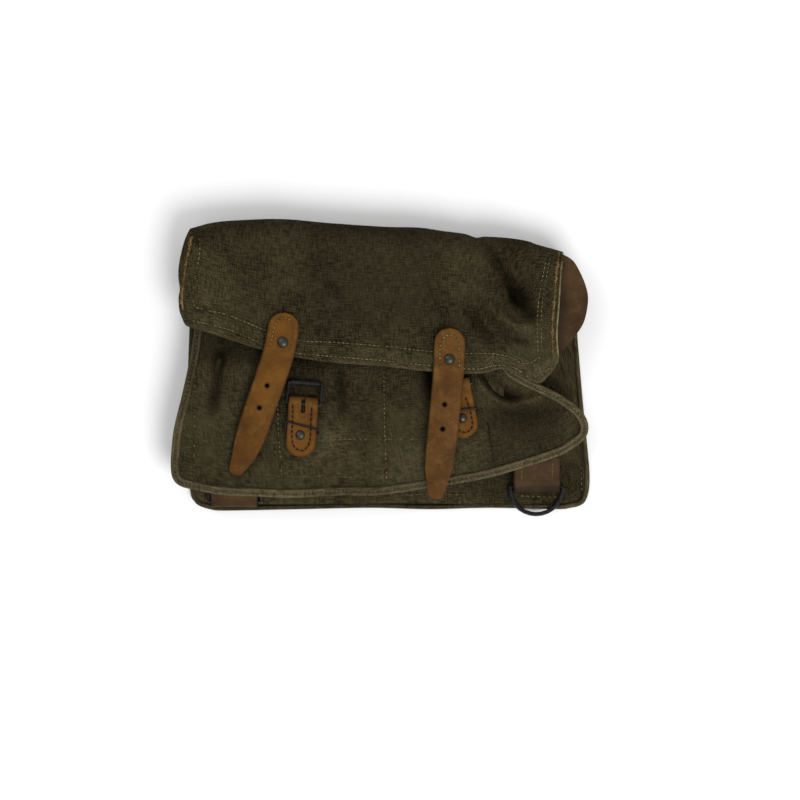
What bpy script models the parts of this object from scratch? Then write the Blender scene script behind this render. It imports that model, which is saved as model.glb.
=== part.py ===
"""Small buckled canvas satchel, empty, lying on its back with the flap closed and both straps undone.

Frame: +Z is out of the front panel, +Y towards the fold of the flap, +X to the right, and the back
panel rests on Z = 0. Every size below is in millimetres and becomes metres in to_metres().
The canvas pieces are plain sheets here. The leather and the steel have their real shapes.
"""
import math

import bmesh
import bpy
from mathutils import Matrix, Vector

MM = 0.001
GAP = 0.3                       # clearance between pieces that touch

# Levels of the canvas, from the table up.
CANVAS = 2.0                    # two layers of heavy canvas
FRONT_LOW = 25.0                # underside of the front panel, on the slumped bag
FRONT_TOP = FRONT_LOW + CANVAS
FLAP_LOW = 34.2
FLAP_TOP = FLAP_LOW + CANVAS
BINDING_R = 1.6                 # piped edge of both panels
GUSSET_WALL = 1.4

# The fold over the mouth runs a little downhill towards the right.
CROWN_SLOPE = -0.05
CROWN_Y = 98.9                  # outer face of the fold at X = 0
CROWN_LEFT, CROWN_RIGHT = -134.0, 131.0

# Leather straps and their hardware.
STRAP_WIDTH = 22.0
STRAP_LOW = FLAP_TOP + 0.4
STRAP_THICK = 2.5
STRAP_TOP = STRAP_LOW + STRAP_THICK
HOLE_R = 1.4
RIVET_HEAD_R = 3.9
RIVET_SHANK_R = 1.2

CHAPE_WIDTH = 21.2
CHAPE_LENGTH = 40.5
CHAPE_LEATHER = 1.4
BUCKLE_WIRE_R = 0.95
BUCKLE_REACH = 15.0             # hinge bar to roller bar
BUCKLE_INSIDE = 21.9            # clear width for the strap
BAR_Z = FRONT_TOP + GAP + CHAPE_LEATHER + GAP + BUCKLE_WIRE_R
FOLD_R = BUCKLE_WIRE_R + GAP + CHAPE_LEATHER
LEAF_LOW = BAR_Z + 0.55         # underside of the upper leaf of the chape
LEAF_TOP = LEAF_LOW + CHAPE_LEATHER
KEEPER_WIRE_R = 0.55
KEEPER_HEIGHT = 5.0
CHAPE_RIVET_AT = 24.7           # along the chape from its fold

RING_WIRE_R = 1.6
RING_HALF_WIDTH = 18.7
RING_ARM = 1.6
TAB_WIDTH = 33.2
TAB_LEATHER = 1.6
TAB_LENGTH = 19.0

CANVAS_RGB = (0.075, 0.068, 0.042)
PIPING_RGB = (0.22, 0.19, 0.12)
LEATHER_RGB = (0.36, 0.17, 0.055)
DARK_LEATHER_RGB = (0.17, 0.085, 0.045)
STEEL_RGB = (0.03, 0.03, 0.033)
BRASS_RGB = (0.16, 0.15, 0.11)


# ---------------------------------------------------------------- scene and helpers

def clear_scene():
    for obj in list(bpy.data.objects):
        bpy.data.objects.remove(obj, do_unlink=True)


def new_collection(name):
    group = bpy.data.collections.new(name)
    bpy.context.scene.collection.children.link(group)
    return group


def make_material(name, rgb, roughness, metallic=0.0):
    material = bpy.data.materials.new(name)
    material.use_nodes = True
    shader = material.node_tree.nodes["Principled BSDF"]
    shader.inputs["Base Color"].default_value = (*rgb, 1.0)
    shader.inputs["Roughness"].default_value = roughness
    shader.inputs["Metallic"].default_value = metallic
    return material


def to_metres(point):
    return Vector(point) * MM


def adopt(obj, name, material):
    """Name an object, give it its material and put it in the satchel's collection."""
    obj.name = name
    obj.data.name = name
    obj.data.materials.clear()
    obj.data.materials.append(material)
    for group in list(obj.users_collection):
        group.objects.unlink(obj)
    PARTS.objects.link(obj)
    return obj


def smooth(obj):
    obj.data.shade_smooth()
    obj.data.set_sharp_from_angle(angle=math.radians(40))


def rounded(corners, steps=7):
    """Points of an open or closed outline. A corner is (x, y) or (x, y, radius)."""
    points = []
    count = len(corners)
    for i, corner in enumerate(corners):
        here = Vector(corner[:2])
        if len(corner) == 2:
            points.append(here)
            continue
        back = (Vector(corners[i - 1][:2]) - here).normalized()
        ahead = (Vector(corners[(i + 1) % count][:2]) - here).normalized()
        half = back.angle(ahead) / 2
        centre = here + (back + ahead).normalized() * corner[2] / math.sin(half)
        start = here + back * corner[2] / math.tan(half) - centre
        end = here + ahead * corner[2] / math.tan(half) - centre
        sweep = math.atan2(start.cross(end), start.dot(end))
        for k in range(steps + 1):
            points.append(centre + Matrix.Rotation(sweep * k / steps, 2) @ start)
    return points


def curve_object(name, paths, cyclic=True, fill="BOTH", dimensions="2D"):
    curve = bpy.data.curves.new(name, "CURVE")
    curve.dimensions = dimensions
    curve.fill_mode = fill
    for path in paths:
        spline = curve.splines.new("POLY")
        spline.points.add(len(path) - 1)
        for point, place in zip(spline.points, path):
            place = Vector(place).to_3d() * MM
            point.co = (*place, 1.0)
        spline.use_cyclic_u = cyclic
    obj = bpy.data.objects.new(name, curve)
    bpy.context.scene.collection.objects.link(obj)
    return obj


def as_mesh(obj):
    """Swap a curve object for a closed mesh object in the same place."""
    bpy.context.view_layer.update()
    evaluated = obj.evaluated_get(bpy.context.evaluated_depsgraph_get())
    mesh = bpy.data.meshes.new_from_object(evaluated)
    bm = bmesh.new()
    bm.from_mesh(mesh)
    bmesh.ops.remove_doubles(bm, verts=bm.verts, dist=1e-6)
    bmesh.ops.recalc_face_normals(bm, faces=bm.faces)
    bm.to_mesh(mesh)
    bm.free()
    made = bpy.data.objects.new(obj.name, mesh)
    made.matrix_world = obj.matrix_world
    bpy.context.scene.collection.objects.link(made)
    bpy.data.objects.remove(obj)
    return made


def flat_piece(name, outline, low, high, material, holes=()):
    """A flat sheet between two levels, cut to an outline and pierced by other outlines."""
    curve = curve_object(name, [outline, *holes])
    curve.data.extrude = (high - low) / 2 * MM
    curve.location.z = (low + high) / 2 * MM
    return adopt(as_mesh(curve), name, material)


def circle(x, y, radius, steps=12):
    turn = 2 * math.pi / steps
    return [(x + radius * math.cos(i * turn), y + radius * math.sin(i * turn)) for i in range(steps)]


def tube(name, path, radius, material, cyclic=False, sides=2):
    curve = curve_object(name, [path], cyclic=cyclic, fill="FULL", dimensions="3D")
    curve.data.bevel_depth = radius * MM
    curve.data.bevel_resolution = sides
    curve.data.use_fill_caps = True
    adopt(curve, name, material)
    return curve


def turned(name, profile, place, material, steps=16):
    """A solid of revolution about Z. The profile is (radius, height) from the top down."""
    bm = bmesh.new()
    verts = [bm.verts.new((r * MM, 0, z * MM)) for r, z in profile]
    for a, b in zip(verts, verts[1:]):
        bm.edges.new((a, b))
    if profile[0][0] > 0:
        bm.edges.new((verts[-1], verts[0]))
    mesh = bpy.data.meshes.new(name)
    bm.to_mesh(mesh)
    bm.free()
    obj = bpy.data.objects.new(name, mesh)
    bpy.context.scene.collection.objects.link(obj)
    screw = obj.modifiers.new("turn", "SCREW")
    screw.steps = screw.render_steps = steps
    screw.use_merge_vertices = True
    screw.merge_threshold = 1e-6
    adopt(obj, name, material)
    obj.location = to_metres(place)
    return obj


def cut(obj, cutter, operation="DIFFERENCE"):
    for group in list(cutter.users_collection):
        group.objects.unlink(cutter)
    CUTTERS.objects.link(cutter)
    cutter.hide_render = True
    cutter.display_type = "WIRE"
    boolean = obj.modifiers.new(cutter.name, "BOOLEAN")
    boolean.operation = operation
    boolean.solver = "EXACT"
    boolean.object = cutter


def box_cutter(name, size, place, turn=None):
    bpy.ops.mesh.primitive_cube_add(size=1)
    obj = bpy.context.object
    obj.name = name
    obj.data.transform(Matrix.Diagonal((*[s * MM for s in size], 1)))
    obj.data.transform(Matrix.Translation(to_metres(place)))
    if turn:
        obj.matrix_world = turn
    return obj


def crown_y(x):
    return CROWN_Y + CROWN_SLOPE * x


# ---------------------------------------------------------------- canvas

# The lower edge of the gusset follows the back panel, its upper edge the front panel. Between them
# it folds inwards like a bellows, along two more rails. The rails have the same corners in turn:
# left top, left middle, lower left, three along the bottom, lower right, right middle, right top.
BACK_RAIL = [(-134, 88), (-136, 0), (-136, -98, 9), (-64, -98), (20, -97), (94, -97), (144.6, -97, 9),
             (141, -5), (137, 84)]
LOWER_FOLD = [(-109, 88), (-111, 0), (-111, -73, 4), (-64, -73), (20, -70), (94, -60), (116, -58, 4),
              (109, -5), (108, 84)]
UPPER_FOLD = [(-108, 88), (-109, 0), (-109, -71, 4), (-64, -71), (20, -68), (94, -58), (118, -50, 4),
              (99, -8), (110, 84)]
FRONT_RAIL = [(-124, 88), (-131, 0), (-145.9, -83, 9), (-64, -87), (20, -82.5), (94, -68),
              (160, -43, 12), (95.6, -7), (120, 84)]
GUSSET_RAILS = [(BACK_RAIL, 3.3), (LOWER_FOLD, 7.5), (UPPER_FOLD, 20.3), (FRONT_RAIL, 23.9)]


def inset_rail(rail, amount):
    """Move a rail inwards (to the left of its direction), so that a wall stays under the panel."""
    points = rounded(rail)
    moved = []
    for i, point in enumerate(points):
        along = (points[min(i + 1, len(points) - 1)] - points[max(i - 1, 0)]).normalized()
        moved.append(point + Vector((-along.y, along.x)) * amount)
    return moved


def make_gusset():
    rows = [[(p.x, p.y, level) for p in inset_rail(rail, 1.0)] for rail, level in GUSSET_RAILS]
    bm = bmesh.new()
    grid = [[bm.verts.new(to_metres(p)) for p in row] for row in rows]
    for lower, upper in zip(grid, grid[1:]):
        for i in range(len(lower) - 1):
            bm.faces.new((lower[i], lower[i + 1], upper[i + 1], upper[i]))
    mesh = bpy.data.meshes.new("gusset")
    bm.to_mesh(mesh)
    bm.free()
    obj = bpy.data.objects.new("gusset", mesh)
    bpy.context.scene.collection.objects.link(obj)
    wall = obj.modifiers.new("wall", "SOLIDIFY")
    wall.thickness = GUSSET_WALL * MM
    wall.offset = 0
    adopt(obj, "gusset", CANVAS_MAT)


def make_panels():
    back = rounded([(-134, crown_y(-134) - 3), *BACK_RAIL[1:-1], (136.5, crown_y(136.5) - 3)])
    flat_piece("back_panel", back, 0, CANVAS, CANVAS_MAT)
    front = rounded([*FRONT_RAIL[:-1], (120, 88)])
    holes = [circle(*on_chape(side, 0, CHAPE_RIVET_AT), RIVET_SHANK_R + GAP) for side in ("left", "right")]
    flat_piece("front_panel", front, FRONT_LOW, FRONT_TOP, CANVAS_MAT, holes)
    pocket = rounded([(-104, -58, 3), (86, -54, 3), (88, 76), (-104, 76)])
    pocket_holes = [circle(*on_chape(side, 0, CHAPE_RIVET_AT), 4.4) for side in ("left", "right")]
    flat_piece("inner_pocket", pocket, FRONT_LOW - GAP - 1.2, FRONT_LOW - GAP, CANVAS_MAT, pocket_holes)


def make_bindings():
    out = -(BINDING_R + 2 * GAP)
    for name, rail, level in (("back_binding", BACK_RAIL, 1.7), ("front_binding", FRONT_RAIL, 26.0)):
        path = [(p.x, p.y, level) for p in inset_rail(rail, out)]
        tube(name, path, BINDING_R, PIPING_MAT)


def make_crown():
    """The band of canvas that stands up behind the mouth and joins the back panel to the flap."""
    along = Vector((1, CROWN_SLOPE, 0))
    profile = [(-1.8, 3.0), (0, 3.0), (0, 33.2), (-1.8, 33.2)]
    bm = bmesh.new()
    ring = [bm.verts.new(to_metres((CROWN_LEFT, crown_y(CROWN_LEFT) + dy, z))) for dy, z in profile]
    face = bm.faces.new(ring)
    grown = bmesh.ops.extrude_face_region(bm, geom=[face])
    moved = [v for v in grown["geom"] if isinstance(v, bmesh.types.BMVert)]
    bmesh.ops.translate(bm, verts=moved, vec=along * (CROWN_RIGHT - CROWN_LEFT) * MM)
    bmesh.ops.recalc_face_normals(bm, faces=bm.faces)
    mesh = bpy.data.meshes.new("flap_crown")
    bm.to_mesh(mesh)
    bm.free()
    obj = bpy.data.objects.new("flap_crown", mesh)
    bpy.context.scene.collection.objects.link(obj)
    adopt(obj, "flap_crown", CANVAS_MAT)


FLAP_LEFT, FLAP_RIGHT = -138.0, 125.0
TAPE_WIDTH = 2.9
EAR_AXIS_LEFT, EAR_AXIS_RIGHT = -142.2, 129.2
EAR_R = 51.0                    # the ear is the end of a disc this big
EAR_DEPTH = 16.8
EAR_LEATHER = 1.6
EAR_Z = (FLAP_LOW + FLAP_TOP) / 2


def make_flap():
    outline = rounded([(FLAP_LEFT, crown_y(FLAP_LEFT) - 3), (FLAP_LEFT, 29, 4), (-95, 18), (-60, 8),
                       (15, 1), (60, -3), (95, -4), (111, -10, 3), (FLAP_RIGHT, 5, 3),
                       (FLAP_RIGHT, crown_y(FLAP_RIGHT) - 3)])
    holes = [circle(*RIVET_AT[side], RIVET_SHANK_R + GAP) for side in ("left", "right")]
    flat_piece("flap_panel", outline, FLAP_LOW, FLAP_TOP, CANVAS_MAT, holes)
    for side, edge, low_y, high_y in (("left", FLAP_LEFT - GAP - TAPE_WIDTH, 33, 100),
                                      ("right", FLAP_RIGHT + GAP, 8, 88)):
        strip = [(edge, low_y), (edge + TAPE_WIDTH, low_y), (edge + TAPE_WIDTH, high_y), (edge, high_y)]
        flat_piece(f"flap_end_tape_{side}", strip, FLAP_LOW, FLAP_TOP, PIPING_MAT)


def make_ear(side, middle_y, hanging):
    """A leather half disc sewn to the end of the flap. Its fold is 0.8 mm from its straight edge."""
    axis_x = EAR_AXIS_LEFT if side == "left" else EAR_AXIS_RIGHT
    reach = math.acos((EAR_R - EAR_DEPTH) / EAR_R)
    points = []
    steps = 14
    for i in range(steps + 1):
        angle = -reach + 2 * reach * i / steps
        points.append((EAR_R * math.cos(angle) - (EAR_R - EAR_DEPTH) + 0.8, EAR_R * math.sin(angle)))
    obj = flat_piece(f"flap_ear_{side}", points, -EAR_LEATHER / 2, EAR_LEATHER / 2, DARK_LEATHER_MAT)
    obj.data.transform(Matrix.Translation((0, 0, obj.location.z)))
    turn = Matrix.Rotation(math.radians(90), 4, "Y") if hanging else Matrix()
    obj.matrix_world = Matrix.Translation(to_metres((axis_x, middle_y, EAR_Z))) @ turn


# ---------------------------------------------------------------- straps

# Top of the sewn part, rivet, fold at the flap's lower edge, and tip of the free part.
STRAP_HEAD = {"left": (-67.4, 38.6), "right": (49.4, 27.6)}
RIVET_AT = {"left": (-69.3, 19.0), "right": (49.3, 6.6)}
STRAP_FOLD = {"left": (-72.0, 11.0), "right": (48.8, -2.2)}
STRAP_TIP = {"left": (-99.5, -71.8), "right": (39.6, -89.9)}
STRAP_HOLES = {"left": (24.5, 39.3), "right": (18.9, 36.4)}
TIP_WIDTH = {"left": 9.0, "right": 11.0}
TAPER = 18.5
HINGE_ROOM = 0.4                # half of the slit between the sewn and the free part


def make_strap(side):
    fold = Vector(STRAP_FOLD[side])
    tip = Vector(STRAP_TIP[side])
    head = Vector(STRAP_HEAD[side])
    half = STRAP_WIDTH / 2
    along = (tip - fold).normalized()
    across = Vector((-along.y, along.x))
    length = (tip - fold).length

    def free(distance, aside):
        return tuple(fold + along * distance + across * aside)

    tip_half = TIP_WIDTH[side] / 2
    outline = rounded([free(HINGE_ROOM, -half), (*free(length - TAPER, -half), 14), (*free(length, -tip_half), 4),
                       (*free(length, tip_half), 4), (*free(length - TAPER, half), 14), free(HINGE_ROOM, half)])
    holes = [circle(*free(distance, 0), HOLE_R) for distance in STRAP_HOLES[side]]
    flat_piece(f"strap_{side}", outline, STRAP_LOW, STRAP_TOP, LEATHER_MAT, holes)

    # The sewn part leans less than the free part, so its lower corners lie on the fold line.
    lean = (head - fold).normalized()
    aside = Vector((-lean.y, lean.x))
    cut_line = fold - along * HINGE_ROOM
    foot = []
    for sign in (-1, 1):
        start = head + aside * half * sign
        down = (cut_line - start).dot(along) / (-lean).dot(along)
        foot.append(tuple(start - lean * down))
    centre = head - lean * half
    bow = [tuple(centre + (aside * math.cos(a) + lean * math.sin(a)) * half)
           for a in [math.pi * i / 10 for i in range(11)]]
    rivet_hole = circle(*RIVET_AT[side], RIVET_SHANK_R + GAP)
    flat_piece(f"strap_root_{side}", [foot[1], *bow, foot[0]], STRAP_LOW, STRAP_TOP, LEATHER_MAT, [rivet_hole])


def make_rivet(name, place, head_r, head_low, tail, washer_name, washer_top):
    """A domed head with its shank, and the flat washer that it is closed over."""
    dome = [(0, head_low + 1.7), (head_r * 0.5, head_low + 1.45), (head_r * 0.85, head_low + 0.8),
            (head_r, head_low), (RIVET_SHANK_R, head_low), (RIVET_SHANK_R, tail), (0, tail)]
    turned(name, dome, (*place, 0), BRASS_MAT)
    inner, outer = RIVET_SHANK_R + GAP, 3.9
    ring = [(outer, washer_top), (outer, washer_top - 0.6), (inner, washer_top - 0.6), (inner, washer_top)]
    turned(washer_name, ring, (*place, 0), BRASS_MAT)


# ---------------------------------------------------------------- chapes and buckles

# A chape is the folded tab that holds a buckle: the middle of its fold, and where it points.
CHAPE_FOLD = {"left": (-53.2, -22.5), "right": (53.2, -10.2)}
CHAPE_AIM = {"left": Vector((-0.086, -0.996)).normalized(), "right": Vector((0.188, -0.982)).normalized()}


def on_chape(side, aside, distance):
    """Place a point that is so far from the fold along the chape, and so far to its right."""
    aim = CHAPE_AIM[side]
    return tuple(Vector(CHAPE_FOLD[side]) + aim * distance + Vector((-aim.y, aim.x)) * aside)


def chape_matrix(side, distance=0.0, height=0.0):
    """Local -Y runs down the chape, and local X across it."""
    aim = CHAPE_AIM[side]
    turn = Matrix.Rotation(math.atan2(aim.x, -aim.y), 4, "Z")
    x, y = on_chape(side, 0, distance)
    return Matrix.Translation(to_metres((x, y, height))) @ turn


def strip_profile(middle_line, thickness):
    """Outline of a bent strip of even thickness, from the points of its middle line."""
    left, right = [], []
    for i, point in enumerate(middle_line):
        before = middle_line[max(i - 1, 0)]
        after = middle_line[min(i + 1, len(middle_line) - 1)]
        along = (after - before).normalized()
        normal = Vector((-along.y, along.x)) * thickness / 2
        left.append(point + normal)
        right.append(point - normal)
    return left + right[::-1]


def hairpin(radius, bar_height, low_mid, high_mid, length, slope_run):
    """Middle line of leather folded round a bar at (0, bar_height). The leaves run towards -X."""
    line = [Vector((-length, low_mid)), Vector((-slope_run, low_mid))]
    for i in range(9):
        angle = math.radians(-90 + 180 * i / 8)
        line.append(Vector((radius * math.cos(angle), bar_height + radius * math.sin(angle))))
    line += [Vector((-slope_run, high_mid)), Vector((-length, high_mid))]
    return line


def swept_strip(name, outline, width, material):
    """Stand a profile upright, so its X becomes world Y and its Y world Z, and widen it along X."""
    curve = curve_object(name, [outline])
    curve.data.extrude = width / 2 * MM
    obj = as_mesh(curve)
    obj.data.transform(Matrix(((0, 0, 1, 0), (1, 0, 0, 0), (0, 1, 0, 0), (0, 0, 0, 1))))
    return adopt(obj, name, material)


def make_chape(side):
    middle_r = FOLD_R - CHAPE_LEATHER / 2
    low_mid = FRONT_TOP + GAP + CHAPE_LEATHER / 2
    line = hairpin(middle_r, BAR_Z, low_mid, (LEAF_LOW + LEAF_TOP) / 2, CHAPE_LENGTH - FOLD_R, 3.0)
    outline = strip_profile([p - Vector((FOLD_R, 0)) for p in line], CHAPE_LEATHER)
    obj = swept_strip(f"chape_{side}", outline, CHAPE_WIDTH + 4, LEATHER_MAT)
    obj.matrix_world = chape_matrix(side)

    half = CHAPE_WIDTH / 2
    end = [(half * math.cos(a), -(CHAPE_LENGTH - half) - half * math.sin(a))
           for a in [math.pi * i / 12 for i in range(13)]]
    shape = [(half, 1), *end, (-half, 1)]
    tongue = flat_piece(f"chape_shape_{side}", shape, 20, 40, LEATHER_MAT)
    tongue.matrix_world = chape_matrix(side) @ tongue.matrix_world
    cut(obj, tongue, "INTERSECT")
    place = chape_matrix(side)
    cut(obj, box_cutter(f"prong_slot_{side}", (3.2, 19.5, 6), (0, -8.75, LEAF_LOW + 3 - 0.4), place))
    cut(obj, box_cutter(f"eye_slot_{side}", (3.2, 7, 6), (0, -2.0, BAR_Z), place))
    bpy.ops.mesh.primitive_cylinder_add(vertices=16, radius=(RIVET_SHANK_R + GAP) * MM, depth=20 * MM)
    drill = bpy.context.object
    drill.name = f"chape_drill_{side}"
    drill.matrix_world = chape_matrix(side, CHAPE_RIVET_AT, LEAF_LOW)
    cut(obj, drill)


def make_buckle(side):
    place = chape_matrix(side, FOLD_R, BAR_Z)
    half = BUCKLE_INSIDE / 2 + BUCKLE_WIRE_R
    loop = rounded([(-half, 0, 1.2), (half, 0, 1.2), (half, BUCKLE_REACH, 1.2), (-half, BUCKLE_REACH, 1.2)], 2)
    frame = tube(f"buckle_frame_{side}", [(p.x, p.y, 0) for p in loop], BUCKLE_WIRE_R, STEEL_MAT, cyclic=True)
    frame.matrix_world = place

    roll_half = BUCKLE_INSIDE / 2 - 0.9
    inner, outer = BUCKLE_WIRE_R + 0.25, 1.8
    sleeve = [(outer, roll_half), (outer, -roll_half), (inner, -roll_half), (inner, roll_half)]
    roller = turned(f"buckle_roller_{side}", sleeve, (0, 0, 0), STEEL_MAT)
    lay_across = Matrix.Rotation(math.radians(90), 4, "Y")
    roller.matrix_world = place @ Matrix.Translation((0, BUCKLE_REACH * MM, 0)) @ lay_across

    # The prong is flipped back between the leaves of the chape. Its eye turns on the hinge bar.
    eye = [(1.85, 1.15), (1.85, -1.15), (1.2, -1.15), (1.2, 1.15)]
    prong = turned(f"buckle_prong_{side}", eye, (0, 0, 0), STEEL_MAT)
    bpy.ops.mesh.primitive_cylinder_add(vertices=10, radius=0.75 * MM, depth=13.3 * MM)
    pin = bpy.context.object
    pin.name = f"prong_pin_{side}"
    pin.data.transform(Matrix.Translation((0, 0, 8.2 * MM)))
    droop = Matrix.Rotation(math.radians(90 + 1.3), 4, "X")
    pin.matrix_world = place @ droop
    prong.matrix_world = place @ lay_across
    cut(prong, pin, "UNION")


def make_keeper(side):
    """A thin wire loop round the upper leaf of the chape, leaning back towards the buckle."""
    low_z = FRONT_TOP + GAP + CHAPE_LEATHER + GAP + KEEPER_WIRE_R
    rise = LEAF_TOP + GAP + KEEPER_WIRE_R - low_z
    lean = math.asin(rise / KEEPER_HEIGHT)
    half = CHAPE_WIDTH / 2 + 0.5 + KEEPER_WIRE_R
    loop = rounded([(-half, 0, 0.9), (half, 0, 0.9), (half, KEEPER_HEIGHT, 0.9), (-half, KEEPER_HEIGHT, 0.9)], 2)
    keeper = tube(f"keeper_{side}", [(p.x, p.y, 0) for p in loop], KEEPER_WIRE_R, STEEL_MAT, cyclic=True, sides=1)
    keeper.matrix_world = chape_matrix(side, KEEPER_PIVOT_AT, low_z) @ Matrix.Rotation(lean, 4, "X")


KEEPER_PIVOT_AT = 22.3


# ---------------------------------------------------------------- ring tabs

# Each tab lies on the lower fold of the gusset: its middle, its slope, and how far the ring's bar
# is from the back panel's edge.
TAB_X = {"left": -104.0, "right": 112.0}
TAB_SLOPE = {"left": math.atan2(4.2, 25), "right": math.atan2(4.2, 37)}
BAR_UP_SLOPE = {"left": 3.5, "right": 13.6}
BAR_ABOVE = GUSSET_WALL / 2 + 0.4 + TAB_LEATHER + GAP + RING_WIRE_R
RING_TILT = {"left": math.radians(13), "right": math.radians(-168 - 6.5)}


def tab_matrix(side):
    """Origin on the bar of the ring. Local Y runs up the slope of the gusset."""
    foot = Matrix.Translation(to_metres((TAB_X[side], -97.2, 3.3)))
    slope = Matrix.Rotation(TAB_SLOPE[side], 4, "X")
    return foot @ slope @ Matrix.Translation(to_metres((0, BAR_UP_SLOPE[side], BAR_ABOVE)))


def make_ring_tab(side):
    middle_r = RING_WIRE_R + GAP + TAB_LEATHER / 2
    low_mid = -middle_r
    high_mid = low_mid + TAB_LEATHER + GAP
    line = [Vector((-p.x, p.y)) for p in hairpin(middle_r, 0, low_mid, high_mid, TAB_LENGTH, 8.0)]
    outline = strip_profile(line, TAB_LEATHER)
    tab = swept_strip(f"ring_tab_{side}", outline, TAB_WIDTH, DARK_LEATHER_MAT)
    tab.matrix_world = tab_matrix(side)


def make_d_ring(side):
    steps = 14
    arc = [(RING_HALF_WIDTH * math.cos(a), RING_ARM + RING_HALF_WIDTH * math.sin(a), 0)
           for a in [math.pi * i / steps for i in range(steps + 1)]]
    path = [(RING_HALF_WIDTH, 0, 0), *arc, (-RING_HALF_WIDTH, 0, 0)]
    ring = tube(f"d_ring_{side}", path, RING_WIRE_R, STEEL_MAT, cyclic=True)
    ring.matrix_world = tab_matrix(side) @ Matrix.Rotation(RING_TILT[side], 4, "X")


# ---------------------------------------------------------------- assembly

clear_scene()
PARTS = new_collection("satchel")
CUTTERS = new_collection("cutters")
CANVAS_MAT = make_material("canvas", CANVAS_RGB, 0.9)
PIPING_MAT = make_material("piping", PIPING_RGB, 0.9)
LEATHER_MAT = make_material("tan_leather", LEATHER_RGB, 0.55)
DARK_LEATHER_MAT = make_material("brown_leather", DARK_LEATHER_RGB, 0.6)
STEEL_MAT = make_material("blackened_steel", STEEL_RGB, 0.4, 0.9)
BRASS_MAT = make_material("oxidised_brass", BRASS_RGB, 0.4, 0.9)

make_panels()
make_gusset()
make_bindings()
make_crown()
make_flap()
make_ear("left", 66.0, hanging=True)
make_ear("right", 47.0, hanging=False)
for part_side in ("left", "right"):
    make_strap(part_side)
    make_rivet(f"strap_rivet_{part_side}", RIVET_AT[part_side], RIVET_HEAD_R, STRAP_TOP + GAP,
               FLAP_LOW - 1.0, f"strap_burr_{part_side}", FLAP_LOW - GAP)
    make_chape(part_side)
    make_rivet(f"chape_rivet_{part_side}", on_chape(part_side, 0, CHAPE_RIVET_AT), 3.3, LEAF_TOP + GAP,
               FRONT_LOW - 1.0, f"chape_burr_{part_side}", FRONT_LOW - GAP)
    make_buckle(part_side)
    make_keeper(part_side)
    make_ring_tab(part_side)
    make_d_ring(part_side)
print(len(PARTS.objects), "nodes")
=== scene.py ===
# %% [markdown]
# # A buckled canvas satchel
# The satchel lies on its back, empty and slumped, with its flap closed and both straps undone. It is
# sewn from coarse olive canvas. The straps, buckle tabs, ring tabs and the two ears on the ends of
# the flap are leather, and the buckles, keepers and rings are blackened steel wire.
# The rigid design comes from the frame, which also says what turns about what. Everything below
# gives those pieces their real surfaces.

# %% Load the frame
import math
import random

import bmesh
import bpy
import numpy as np
from mathutils import Matrix, Vector
from mathutils.bvhtree import BVHTree


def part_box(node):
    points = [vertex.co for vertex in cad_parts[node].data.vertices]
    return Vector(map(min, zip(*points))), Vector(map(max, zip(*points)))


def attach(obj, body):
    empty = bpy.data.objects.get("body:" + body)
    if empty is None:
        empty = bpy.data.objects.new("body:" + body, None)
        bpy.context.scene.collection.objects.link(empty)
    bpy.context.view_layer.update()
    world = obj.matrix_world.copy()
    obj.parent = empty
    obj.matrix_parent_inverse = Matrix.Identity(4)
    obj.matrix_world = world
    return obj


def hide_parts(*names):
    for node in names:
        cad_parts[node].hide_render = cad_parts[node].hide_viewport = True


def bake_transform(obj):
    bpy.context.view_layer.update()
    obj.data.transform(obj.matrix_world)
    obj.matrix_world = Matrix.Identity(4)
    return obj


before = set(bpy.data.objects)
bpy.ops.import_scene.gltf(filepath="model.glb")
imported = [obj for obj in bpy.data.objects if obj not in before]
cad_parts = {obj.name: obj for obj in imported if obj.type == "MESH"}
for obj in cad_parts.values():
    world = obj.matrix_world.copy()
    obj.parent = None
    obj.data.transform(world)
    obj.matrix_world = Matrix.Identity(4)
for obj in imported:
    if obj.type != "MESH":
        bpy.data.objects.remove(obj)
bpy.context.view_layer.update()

MM = 0.001

# %% [markdown]
# ## Camera, floor and light
# The bag is seen from straight above with a longish lens, so the near strap tips and the back panel
# keep their true sizes. A plain pale floor and two broad lamps give the soft, even light of a
# catalogue table. The key lamp stands at the lower right, so that folds show a lit and a dark side.

# %% Camera
camera = bpy.data.objects.new("camera", bpy.data.cameras.new("camera"))
camera.data.lens = 85
camera.data.sensor_width = 36
camera.location = (0.0144, -0.0222, 1.36)
camera.data.clip_start = 0.01
bpy.context.scene.collection.objects.link(camera)
bpy.context.scene.camera = camera
bpy.context.scene.view_settings.view_transform = "Standard"

# %% Floor, lamps and sky
floor_mesh = bmesh.new()
bmesh.ops.create_grid(floor_mesh, x_segments=1, y_segments=1, size=4)
floor_data = bpy.data.meshes.new("floor")
floor_mesh.to_mesh(floor_data)
floor_mesh.free()
floor = bpy.data.objects.new("floor", floor_data)
floor.location.z = -0.0004
bpy.context.scene.collection.objects.link(floor)

floor_look = bpy.data.materials.new("floor")
floor_look.use_nodes = True
floor_shader = floor_look.node_tree.nodes["Principled BSDF"]
floor_shader.inputs["Base Color"].default_value = (0.94, 0.94, 0.94, 1)
floor_shader.inputs["Roughness"].default_value = 0.9
floor_data.materials.append(floor_look)


def lamp(name, place, size, watts):
    light = bpy.data.lights.new(name, "AREA")
    light.shape = "DISK"
    light.size = size
    light.energy = watts
    obj = bpy.data.objects.new(name, light)
    obj.location = place
    obj.rotation_euler = (Vector((0, 0, 0)) - Vector(place)).to_track_quat("-Z", "Y").to_euler()
    bpy.context.scene.collection.objects.link(obj)


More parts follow.
